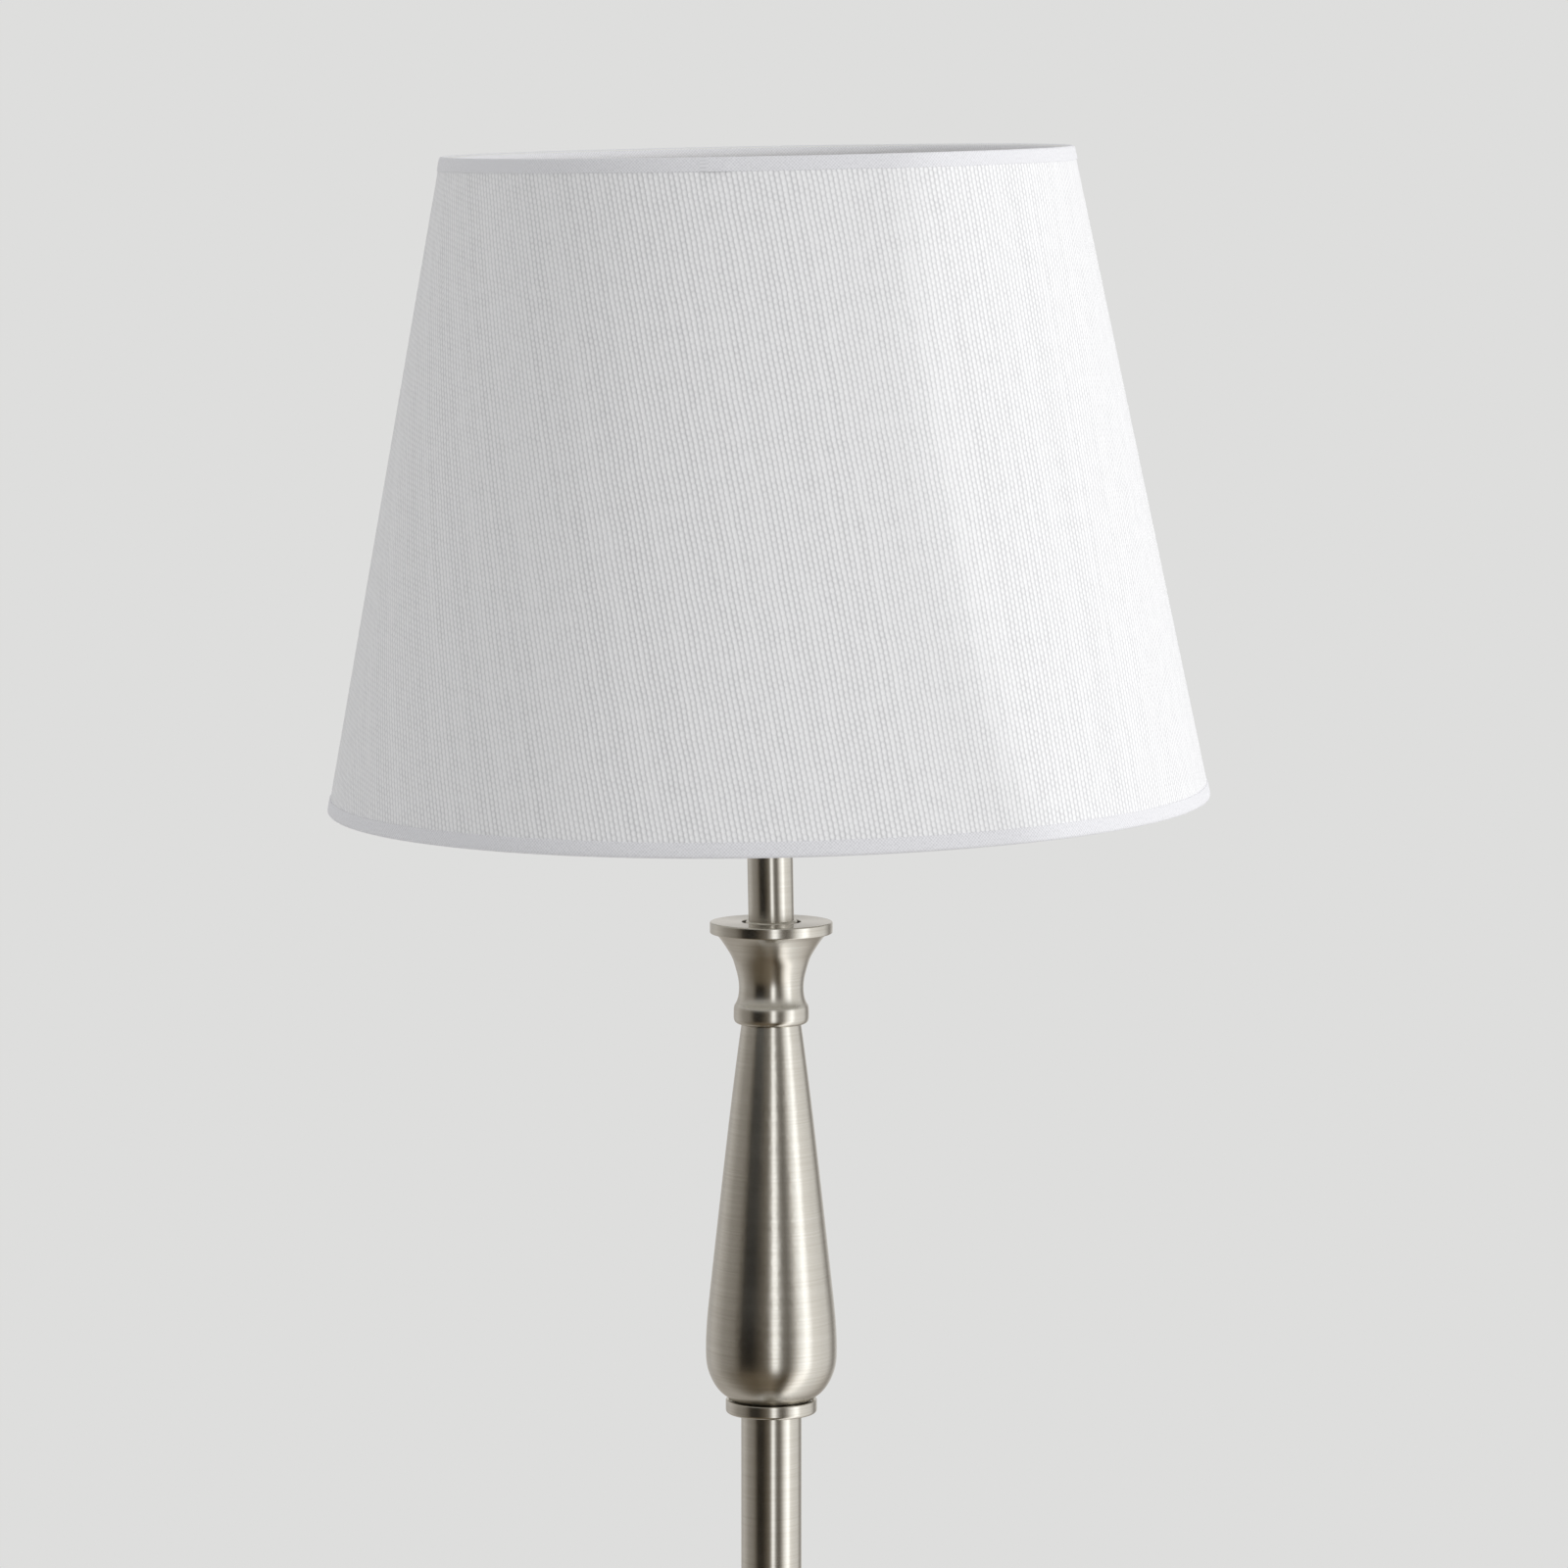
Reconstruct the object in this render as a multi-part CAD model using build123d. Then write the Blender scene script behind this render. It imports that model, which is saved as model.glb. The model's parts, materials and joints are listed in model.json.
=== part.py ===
from build123d import *

import os
from math import atan2, cos, hypot, radians, sin, sqrt

# A column floor lamp: a weighted round foot, a tube pole in three sections, a
# drop-shaped turned body, a flared cup, and a fabric shade on a lampholder.
# Millimetres, +Z up. The origin is on the floor, on the pole's centre line. The
# cord leaves the foot at the back, towards +Y. The neck, lampholder, bulb and
# shade stand a degree or so out of plumb, so they are built upright around their
# own axis and then set on the cup together.

# ---- clearances ----
slip = 0.05                # round part in a round hole, on the radius
turn_gap = 0.3             # between the shade's fitter and the clamp ring above it
skin_gap = 0.1             # glue film between bonded layers of the shade
seat_gap = 0.1             # under a part that turns on its seat

# ---- tube, pipe and sheet stock ----
pole_d = 25.4              # one-inch tube
neck_d = 19.05             # three-quarter-inch tube
tube_wall = 1.2
pipe_d = 10.0              # hollow threaded pipe, M10 x 1
pipe_bore_d = 7.4
sheet = 1.2                # spun covers and shells

# ---- foot ----
felt_inset = 6.0           # felt's edge, in from the cover's rim
felt_thick = 2.0
base_d = 280.0
base_lift = 1.0            # cover's edge above the floor
base_rim_height = 15.0
base_step_d = 222.0
base_step_low = 19.0
base_step_high = 26.0
base_crown_d = 68.0
base_height = 36.0
base_round = 3.0
weight_inset = 6.0         # weight's edge, in from the cover's rim
weight_thick = 11.0
weight_boss_inset = 5.0    # edge of its thicker middle, in from the cover's step
weight_boss_height = 10.0
weight_well_d = 32.0       # counterbore for the locknut
weight_well_depth = 10.0
cord_slot_w = 10.0         # cord channel under the weight
cord_slot_depth = 10.0
spacer_d = 18.0
gland_z = 8.0
gland_d = 10.0
gland_bore_d = 7.0
gland_lip_d = 13.0
gland_lip = 1.5
gland_tail = 4.0           # how far the gland reaches inside the cover

# ---- hardware on the pipes ----
nut_flats = 17.0
nut_thick = 5.0
nut_chamfer = 1.0
washer_d = 24.0
washer_thick = 1.5
spring_washer_d = 16.5
spring_washer_thick = 2.0
spring_washer_split = 1.0
pipe_end = 1.0             # pipe showing past its nut

# ---- bell and rings ----
bell_foot_d = 62.0
bell_foot_edge = 4.8
bell_edge_round = 1.5
bell_flare_d = 57.0
bell_waist_d = 30.0
bell_height = 40.4
bell_top_plate = 3.0
ring_d = 38.3
ring_height = 5.6
ring_round = 1.7

# ---- pole ----
pole_section = 312.0
pole_sections = 3
bush_length = 12.0
joint_ring_d = 29.0
joint_ring_height = 3.0
joint_ring_round = 1.0
joint_nipple_length = 22.0

# ---- drop-shaped body ----
body_height = 158.7
body_foot_d = 34.4
body_belly_d = 54.96
body_belly_height = 21.25  # widest point above the body's foot
body_top_d = 24.9
body_foot_plate = 2.0
body_top_plate = 2.0
body_top_slope = 0.14      # how fast the flank narrows where it meets the cup
# share of the way from the belly, and the share of the swell that is left there
body_flank = [(0.182, 0.882), (0.545, 0.513)]
body_under = [(0.473, 0.866), (0.864, 0.35)]

# ---- cup ----
cup_foot_d = 26.6
cup_bead_d = 31.4
cup_bead_height = 7.9
cup_bead_crown = 0.35      # how far the bead swells past its own upper edge
cup_bead_middle = 0.62     # share of the bead's height where it is widest
cup_waist_d = 26.96
cup_waist_height = 15.4
cup_flare_d = 46.8         # where the flare meets the flange
cup_flange_d = 51.2
cup_flange_thick = 4.8
cup_flange_round = 1.5
cup_height = 42.9
cup_mouth_d = 24.6
cup_floor = 2.0
# share of the way down from the flange, and the share of the flare that is left there
cup_cove = [(0.31, 0.475), (0.535, 0.22)]

# ---- neck ----
neck_lean_side = 1.05      # degrees towards -X
neck_lean_front = 1.1      # degrees towards -Y
neck_length = 62.4
neck_sink = 2.4            # how deep its foot stands in the cup's mouth
neck_ring_d = 21.7
neck_ring_height = 3.0
neck_bush_length = 10.0
neck_bush_lip = 1.5

# ---- lampholder (E27) ----
holder_d = 40.0
holder_wall = 1.2
cap_foot_d = 25.0
cap_height = 18.5
cap_boss_d = 14.0
cap_boss_length = 9.0
cap_cone_share = 0.6       # share of the cap's height that is cone
cap_foot_round = 2.0
cap_rim_round = 6.0
grub_d = 3.0
grub_length = 4.0
housing_height = 19.0
shoulder_d = 48.0
shoulder_thick = 2.0
skirt_height = 24.0
skirt_round = 0.5
core_disc = 12.0           # ceramic disc that carries the contacts
core_sleeve_bore_d = 29.0
screw_shell_d = 28.6
screw_shell_wall = 0.5
screw_shell_height = 21.0
contact_length = 14.0
contact_w = 7.0
contact_thick = 0.6
core_screw_d = 3.5
core_screw_head_d = 6.0
core_screw_head = 1.8
core_screw_length = 9.0
core_screw_ring_d = 22.0
core_screw_slot = 0.8
clamp_ring_d = 52.0
clamp_ring_height = 8.0
clamp_ring_flutes = 24
clamp_ring_flute_d = 2.0

# ---- rotary switch ----
switch_shaft_d = 4.0
switch_depth = 8.0         # shaft's inner end from the core's middle
knob_d = 10.0
knob_length = 13.0
knob_gap = 1.5             # from the housing to the knob
knob_flutes = 14
knob_flute_d = 1.2
knob_end_wall = 2.0
knob_round = 1.2

# ---- bulb (A60) ----
bulb_cap_d = 26.4
bulb_cap_height = 23.0
bulb_d = 60.0
bulb_length = 106.0        # from the end contact to the crown
bulb_glass = 0.8
bulb_neck_d = 25.0
bulb_shoulder_slope = 0.05 # how fast the glass widens where it leaves the cap
bulb_insulator_d = 16.0
bulb_insulator_height = 3.0
bulb_contact_d = 9.0
bulb_contact_height = 1.2
bulb_cap_chamfer = 2.0

# ---- shade ----
shade_bottom_d = 366.2     # over the edge tape
shade_top_d = 260.3
shade_height = 268.7
shade_drop = 50.4          # bottom edge below the fitter ring
fabric_thick = 0.8
liner_thick = 0.5
tape_thick = 0.5
tape_width = 6.0
wire_d = 3.0
spoke_d = 3.0
spoke_count = 3
spoke_bend_d = 68.0        # where the spokes turn down
spoke_bend_radius = 8.0
spoke_clear = 1.0          # from the clamp ring to the spokes' inner ends
fitter_d = 62.0
fitter_thick = 1.5

# ---- diameters that follow ----
felt_d = base_d - 2 * felt_inset
weight_d = base_d - 2 * weight_inset
weight_boss_d = base_step_d - 2 * weight_boss_inset
bush_d = pole_d - 2 * tube_wall
pipe_hole_d = pipe_d + 2 * slip

# ---- heights that follow, from the floor up ----
weight_low = felt_thick
weight_edge_high = weight_low + weight_thick
weight_high = weight_edge_high + weight_boss_height
bell_low = base_height
bell_high = bell_low + bell_height
pole_low = bell_high + ring_height
pole_high = pole_low + pole_sections * pole_section + (pole_sections - 1) * joint_ring_height
body_low = pole_high + ring_height
body_high = body_low + body_height
cup_low = body_high
cup_high = cup_low + cup_height

# ---- heights along the leaning axis, from the cup's flange up ----
neck_lean = hypot(neck_lean_side, neck_lean_front)
neck_low = -neck_sink
neck_high = neck_low + neck_length
cap_low = neck_high + neck_bush_lip
cap_high = cap_low + cap_height
shoulder_low = cap_high + housing_height
shoulder_high = shoulder_low + shoulder_thick
skirt_high = shoulder_high + skirt_height
fitter_low = shoulder_high + seat_gap
fitter_high = fitter_low + fitter_thick
clamp_low = fitter_high + turn_gap
core_low = cap_high + core_screw_head + slip
core_high = core_low + core_disc
contact_high = core_high + contact_thick
shade_low = fitter_low - shade_drop
shade_high = shade_low + shade_height
switch_height = core_low + core_disc / 2
bulb_low = contact_high + slip
upper_frame = Pos(0, 0, cup_high) * Rot(neck_lean_front, -neck_lean_side, 0)


# ---- shapes that come up again and again ----

def tube(outer_d, bore_d, low, high):
    """Round sleeve around the Z axis."""
    height = high - low
    wall = Cylinder(outer_d / 2, height) - Cylinder(bore_d / 2, height)
    return Pos(0, 0, (low + high) / 2) * wall


def rod(outer_d, low, high):
    """Plain round bar around the Z axis."""
    return Pos(0, 0, (low + high) / 2) * Cylinder(outer_d / 2, high - low)


def turned(outline):
    """Solid of revolution of a closed outline drawn as radius and height."""
    return revolve(Plane.XZ * make_face(outline), Axis.Z)


def spun(path, thickness):
    """Spun sheet: the path, of lines and arcs, is the outside of its section."""
    return turned(offset(path, thickness, side=Side.LEFT))


def shell(curves, thickness):
    """Turned shell between smooth curves, drawn from low to high, and their copies nearer the axis."""
    inner = [Pos(-thickness, 0, 0) * curve for curve in curves]
    ends = [Line(curves[-1] @ 1, inner[-1] @ 1), Line(inner[0] @ 0, curves[0] @ 0)]
    return turned([*curves, *inner, *ends])


def rounded_ring(outer_d, bore_d, low, high, radius):
    """Ring whose outer edges are rounded over."""
    ring = tube(outer_d, bore_d, low, high)
    edges = ring.edges().filter_by(GeomType.CIRCLE).sort_by(SortBy.RADIUS)[-2:]
    return fillet(edges, radius)


def hex_nut(low, high):
    """Nut on the threaded pipe, lightly chamfered."""
    blank = extrude(RegularPolygon(nut_flats / 2, 6, major_radius=False), high - low)
    corners = Cylinder(nut_flats / sqrt(3), high - low)
    corners = chamfer(corners.edges().filter_by(GeomType.CIRCLE), nut_chamfer)
    nut = Pos(0, 0, low) * blank & Pos(0, 0, (low + high) / 2) * corners
    return nut - rod(pipe_hole_d, low, high)


def around(piece, count):
    """Copies of a piece, evenly spaced around the Z axis."""
    return [Rot(0, 0, 360 * i / count) * piece for i in range(count)]


def along(wide, narrow, share, kept):
    """Point that share of the height from wide to narrow, with that share of the swell left."""
    radius = narrow[0] + (wide[0] - narrow[0]) * kept
    return (radius, wide[1] + (narrow[1] - wide[1]) * share)


# ---- foot ----

def make_foot():
    cover_path = FilletPolyline(
        (base_d / 2, base_lift),
        (base_d / 2, base_rim_height),
        (base_step_d / 2, base_step_low),
        (base_step_d / 2, base_step_high),
        (base_crown_d / 2, base_height),
        (pipe_hole_d / 2, base_height),
        radius=[base_round, base_round, base_round, 3 * base_round],
    )
    cover = spun(cover_path, sheet)
    gland_hole = Pos(0, base_d / 2, gland_z) * Rot(90, 0, 0) * Cylinder(gland_d / 2 + slip, 4 * sheet)

    well_high = weight_low + weight_well_depth
    weight = rod(weight_d, weight_low, weight_edge_high) + rod(weight_boss_d, weight_edge_high, weight_high)
    weight -= rod(pipe_hole_d, weight_low, weight_high) + rod(weight_well_d, weight_low, well_high)
    slot = Box(cord_slot_w, weight_d / 2, cord_slot_depth, align=(Align.CENTER, Align.MIN, Align.MIN))
    weight -= Pos(0, 0, weight_low) * slot

    # washers and nut hang under the roof of the well
    washer_low = well_high - washer_thick
    spring_low = washer_low - spring_washer_thick
    nut_low = spring_low - nut_thick
    pipe_low = nut_low - pipe_end
    spring_washer = tube(spring_washer_d, pipe_hole_d, spring_low, washer_low)
    split = Box(spring_washer_d, spring_washer_split, 2 * spring_washer_thick,
                align=(Align.MIN, Align.CENTER, Align.CENTER))
    spring_washer -= Pos(0, 0, (spring_low + washer_low) / 2) * split

    # the gland is drawn along Z and then laid into the back of the cover
    gland = tube(gland_d, gland_bore_d, -sheet - gland_tail, 0)
    gland += tube(gland_lip_d, gland_bore_d, 0, gland_lip)
    lip_edges = gland.edges().filter_by(GeomType.CIRCLE).group_by(Axis.Z)[-1]
    gland = fillet(lip_edges.sort_by(SortBy.RADIUS)[-1:], gland_lip / 2)
    gland = Pos(0, base_d / 2, gland_z) * Rot(-90, 0, 0) * gland

    return {
        "base_felt": rod(felt_d, 0, felt_thick),
        "base_weight": weight,
        "base_cover": cover - gland_hole,
        "base_spacer": tube(spacer_d, pipe_hole_d, weight_high, base_height - sheet),
        "base_flat_washer": tube(washer_d, pipe_hole_d, washer_low, well_high),
        "base_spring_washer": spring_washer,
        "base_locknut": hex_nut(nut_low, spring_low),
        "base_pipe": tube(pipe_d, pipe_bore_d, pipe_low, pole_low + bush_length),
        "cord_gland": gland,
    }


def make_bell():
    edge_high = bell_low + bell_foot_edge
    flare = Spline(
        (bell_flare_d / 2, edge_high),
        (bell_waist_d / 2, bell_high),
        tangents=[(-0.8, 1), (0, 1)],
    )
    edge = rounded_ring(bell_foot_d, bell_flare_d - 4 * sheet, bell_low, edge_high, bell_edge_round)
    plate = tube(bell_waist_d - sheet, pipe_hole_d, bell_high - bell_top_plate, bell_high)
    return {
        "foot_bell": shell([flare], sheet) + edge + plate,
        "foot_ring": rounded_ring(ring_d, pipe_hole_d, bell_high, pole_low, ring_round),
    }


# ---- pole ----

def make_pole():
    names = ["lower_pole", "middle_pole", "upper_pole"]
    pieces = {}
    bushes = []
    rings = []
    nipples = []
    for i, name in enumerate(names[:pole_sections]):
        low = pole_low + i * (pole_section + joint_ring_height)
        high = low + pole_section
        pieces[name] = tube(pole_d, bush_d, low, high)
        bushes.append(tube(bush_d, pipe_hole_d, low, low + bush_length))
        bushes.append(tube(bush_d, pipe_hole_d, high - bush_length, high))
        if i < pole_sections - 1:
            joint_high = high + joint_ring_height
            joint_mid = (high + joint_high) / 2
            rings.append(rounded_ring(joint_ring_d, pipe_hole_d, high, joint_high, joint_ring_round))
            nipples.append(tube(pipe_d, pipe_bore_d, joint_mid - joint_nipple_length / 2,
                                joint_mid + joint_nipple_length / 2))
    pieces["pole_bushes"] = Compound(children=bushes)
    pieces["joint_rings"] = Compound(children=rings)
    pieces["joint_nipples"] = Compound(children=nipples)
    pieces["collar_ring"] = rounded_ring(ring_d, pipe_hole_d, pole_high, body_low, ring_round)
    return pieces


# ---- body, cup and the pipe that ties them ----

def make_body():
    foot = (body_foot_d / 2, body_low)
    belly = (body_belly_d / 2, body_low + body_belly_height)
    top = (body_top_d / 2, body_high)
    under = Spline(
        foot,
        *[along(belly, foot, share, kept) for share, kept in reversed(body_under)],
        belly,
        tangents=[(1, 1), (0, 1)],
    )
    flank = Spline(
        belly,
        *[along(belly, top, share, kept) for share, kept in body_flank],
        top,
        tangents=[(0, 1), (-body_top_slope, 1)],
    )
    foot_plate = tube(body_foot_d - sheet, pipe_hole_d, body_low, body_low + body_foot_plate)
    top_plate = tube(body_top_d - sheet, pipe_hole_d, body_high - body_top_plate, body_high)
    return {"body_shell": shell([under, flank], sheet) + foot_plate + top_plate}


def make_cup():
    foot_r = cup_foot_d / 2
    bead_r = cup_bead_d / 2
    waist = (cup_waist_d / 2, cup_low + cup_waist_height)
    flange_low = cup_high - cup_flange_thick
    flare_end = (cup_flare_d / 2, flange_low)
    bead_top = (bead_r - cup_bead_crown, cup_low + cup_bead_height)
    bead = Spline(
        (foot_r, cup_low),
        (bead_r - cup_bead_crown, cup_low + (bead_r - foot_r) / 2),
        (bead_r, cup_low + cup_bead_middle * cup_bead_height),
        bead_top,
        tangents=[(1, 0.3), (-0.35, 1)],
    )
    cove = Spline(bead_top, waist, tangents=[(-0.75, 1), (0, 1)])
    flare = Spline(
        waist,
        *[along(flare_end, waist, share, kept) for share, kept in reversed(cup_cove)],
        flare_end,
        tangents=[(0, 1), (1, 1)],
    )
    wall = shell([bead, cove, flare], sheet)
    floor = tube(cup_foot_d - sheet, pipe_hole_d, cup_low, cup_low + cup_floor)
    flange = rounded_ring(cup_flange_d, cup_flare_d - 4 * sheet, flange_low, cup_high, cup_flange_round)
    plate = tube(cup_flare_d, cup_mouth_d, cup_high - sheet, cup_high)
    spacer_high = cup_high - neck_sink - neck_ring_d / 2 * sin(radians(neck_lean)) - slip
    return {
        "candle_cup": wall + floor + flange + plate,
        "cup_spacer": tube(spacer_d, pipe_hole_d, cup_low + cup_floor, spacer_high),
    }


def make_stem_pipe():
    """The pipe is threaded below, rises through body and cup, and is bent there to the neck's lean."""
    nut_high = pole_high - bush_length
    low = nut_high - nut_thick - pipe_end
    high = cap_low + cap_boss_length
    straight = rod(pipe_d, low, cup_high)
    leaning = upper_frame * rod(pipe_d, 0, high)
    elbow = Pos(0, 0, cup_high) * Sphere(pipe_d / 2)
    straight_bore = rod(pipe_bore_d, low, cup_high)
    leaning_bore = upper_frame * rod(pipe_bore_d, 0, high)
    elbow_bore = Pos(0, 0, cup_high) * Sphere(pipe_bore_d / 2)
    return {
        "stem_pipe": straight + leaning + elbow - straight_bore - leaning_bore - elbow_bore,
        "stem_locknut": hex_nut(nut_high - nut_thick, nut_high),
    }


# ---- pieces on the leaning axis ----

def make_neck():
    inner_d = neck_d - 2 * tube_wall
    bush_low = neck_high - neck_bush_length
    bush = tube(inner_d, pipe_hole_d, bush_low, neck_high) + tube(neck_d, pipe_hole_d, neck_high, cap_low)
    ring = rounded_ring(neck_ring_d, neck_d + 2 * slip, neck_low, neck_low + neck_ring_height,
                        (neck_ring_d - neck_d) / 2 - 2 * slip)
    return {
        "neck_ring": ring,
        "neck_tube": tube(neck_d, inner_d, neck_low, neck_high),
        "neck_bush": bush,
    }


def make_lampholder():
    holder_r = holder_d / 2
    cap_path = FilletPolyline(
        (pipe_hole_d / 2, cap_low),
        (cap_foot_d / 2, cap_low),
        (holder_r, cap_low + cap_cone_share * cap_height),
        (holder_r, cap_high),
        radius=[cap_foot_round, cap_rim_round],
    )
    cap = spun(cap_path, holder_wall)
    cap += tube(cap_boss_d, pipe_hole_d, cap_low + holder_wall / 2, cap_low + cap_boss_length)
    grub_height = cap_low + cap_boss_length - grub_d
    grub_turn = Pos(0, 0, grub_height) * Rot(90, 0, 0)
    grub_hole = Cylinder(grub_d / 2 + slip, cap_boss_d, align=(Align.CENTER, Align.CENTER, Align.MIN))
    cap -= grub_turn * grub_hole
    grub = grub_turn * Pos(0, 0, pipe_d / 2 + slip) * Cylinder(
        grub_d / 2, grub_length, align=(Align.CENTER, Align.CENTER, Align.MIN))

    inner_d = holder_d - 2 * holder_wall
    body = tube(holder_d, inner_d, cap_high, skirt_high)
    body += tube(shoulder_d, inner_d, shoulder_low, shoulder_high)
    mouth_edges = body.edges().filter_by(GeomType.CIRCLE).group_by(Axis.Z)[-1]
    body = fillet(mouth_edges.sort_by(SortBy.RADIUS)[-1:], skirt_round)
    shaft_turn = Pos(0, 0, switch_height) * Rot(0, 90, 0)
    body -= shaft_turn * Cylinder(switch_shaft_d / 2 + slip, holder_d,
                                  align=(Align.CENTER, Align.CENTER, Align.MIN))

    core_d = inner_d - 2 * slip
    sleeve_high = core_high + screw_shell_height
    core = rod(core_d, core_low, core_high) + tube(core_d, core_sleeve_bore_d, core_high, sleeve_high)
    core -= shaft_turn * Pos(0, 0, switch_depth - slip) * Cylinder(
        switch_shaft_d / 2 + slip, holder_d, align=(Align.CENTER, Align.CENTER, Align.MIN))
    screw_place = Pos(0, core_screw_ring_d / 2, 0)
    screw_hole = screw_place * rod(core_screw_d + 2 * slip, core_low, core_low + core_screw_length)
    screw = screw_place * (rod(core_screw_d, core_low, core_low + core_screw_length - slip)
                           + rod(core_screw_head_d, core_low - core_screw_head, core_low))
    slot = screw_place * Pos(0, 0, core_low - core_screw_head) * Box(
        core_screw_head_d, core_screw_slot, core_screw_head)
    for hole in around(screw_hole, 2):
        core -= hole

    screw_shell = tube(screw_shell_d, screw_shell_d - 2 * screw_shell_wall, core_high, sleeve_high)
    contact = Pos(0, 0, core_high + contact_thick / 2) * Box(contact_length, contact_w, contact_thick)

    clamp = tube(clamp_ring_d, holder_d + 2 * slip, clamp_low, clamp_low + clamp_ring_height)
    flute = Pos(clamp_ring_d / 2, 0, clamp_low + clamp_ring_height / 2) * Cylinder(
        clamp_ring_flute_d / 2, clamp_ring_height)
    for cut in around(flute, clamp_ring_flutes):
        clamp -= cut

    return {
        "holder_cap": cap,
        "cap_grub_screw": grub,
        "holder_body": body,
        "holder_core": core,
        "core_screws": Compound(children=around(screw - slot, 2)),
        "screw_shell": screw_shell,
        "centre_contact": contact,
        "shade_clamp_ring": clamp,
    }


def make_switch():
    knob_near = holder_d / 2 + knob_gap
    knob_far = knob_near + knob_length
    shaft_far = knob_far - knob_end_wall
    shaft = rod(switch_shaft_d, switch_depth, shaft_far)
    knob = fillet(rod(knob_d, knob_near, knob_far).edges().sort_by(Axis.Z)[-1:], knob_round)
    flute = Pos(knob_d / 2, 0, (knob_near + knob_far) / 2) * Cylinder(knob_flute_d / 2, knob_length)
    for cut in around(flute, knob_flutes):
        knob -= cut
    knob -= rod(switch_shaft_d + 2 * slip, knob_near, shaft_far + slip)
    lay_down = Pos(0, 0, switch_height) * Rot(0, 90, 0)
    return {
        "switch_shaft": lay_down * shaft,
        "switch_knob": lay_down * knob,
    }


def bulb_outline(neck_r, globe_r, neck_height, globe_height):
    """Shoulder and dome of the glass, upwards from the screw cap."""
    shoulder = Spline(
        (neck_r, neck_height),
        (globe_r, globe_height),
        tangents=[(bulb_shoulder_slope, 1), (0, 1)],
    )
    dome = RadiusArc((globe_r, globe_height), (0, globe_height + globe_r), -globe_r)
    return shoulder, dome


def make_bulb():
    contact_top = bulb_low + bulb_contact_height
    cap_bottom = contact_top + bulb_insulator_height
    cap_top = cap_bottom + bulb_cap_height
    crown = bulb_low + bulb_length
    globe_r = bulb_d / 2
    globe_mid = crown - globe_r
    shoulder, dome = bulb_outline(bulb_neck_d / 2, globe_r, cap_top, globe_mid)
    inner_shoulder, inner_dome = bulb_outline(
        bulb_neck_d / 2 - bulb_glass, globe_r - bulb_glass, cap_top, globe_mid)
    glass = turned([
        shoulder,
        dome,
        Line((0, crown), (0, crown - bulb_glass)),
        inner_dome,
        inner_shoulder,
        Line(inner_shoulder @ 0, shoulder @ 0),
    ])
    cone = Pos(0, 0, contact_top + bulb_insulator_height / 2) * Cone(
        bulb_contact_d / 2, bulb_insulator_d / 2, bulb_insulator_height)
    cap = rod(bulb_cap_d, cap_bottom, cap_top)
    cap = chamfer(cap.edges().sort_by(Axis.Z)[:1], bulb_cap_chamfer)
    return {
        "bulb_glass": glass,
        "bulb_cap": cap,
        "bulb_insulator": cone,
        "bulb_contact": rod(bulb_contact_d, bulb_low, contact_top),
    }


# ---- shade ----

def shade_r(height, depth=0.0):
    """Radius of the shade's wall at a height on its axis, that deep behind the tape's face."""
    share = (height - shade_low) / shade_height
    return shade_bottom_d / 2 + (shade_top_d - shade_bottom_d) / 2 * share - depth


def cone_wall(low, high, outer_depth, inner_depth):
    """One layer of the shade's wall."""
    return turned(Polyline(
        (shade_r(low, outer_depth), low),
        (shade_r(high, outer_depth), high),
        (shade_r(high, inner_depth), high),
        (shade_r(low, inner_depth), low),
        close=True,
    ))


def edge_tape(edge, inward, inner_depth):
    """Tape folded over a rim: down the outside, across the edge and up behind the wire."""
    tape_end = edge + inward * tape_width
    web = edge + inward * tape_thick
    return turned(Polyline(
        (shade_r(edge), edge),
        (shade_r(tape_end), tape_end),
        (shade_r(tape_end, tape_thick), tape_end),
        (shade_r(web, tape_thick), web),
        (shade_r(web, inner_depth - tape_thick), web),
        (shade_r(tape_end, inner_depth - tape_thick), tape_end),
        (shade_r(tape_end, inner_depth), tape_end),
        (shade_r(edge, inner_depth), edge),
        close=True,
    ))


def wire_ring(height, radius):
    return Pos(0, 0, height) * Torus(radius, wire_d / 2)


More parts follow.
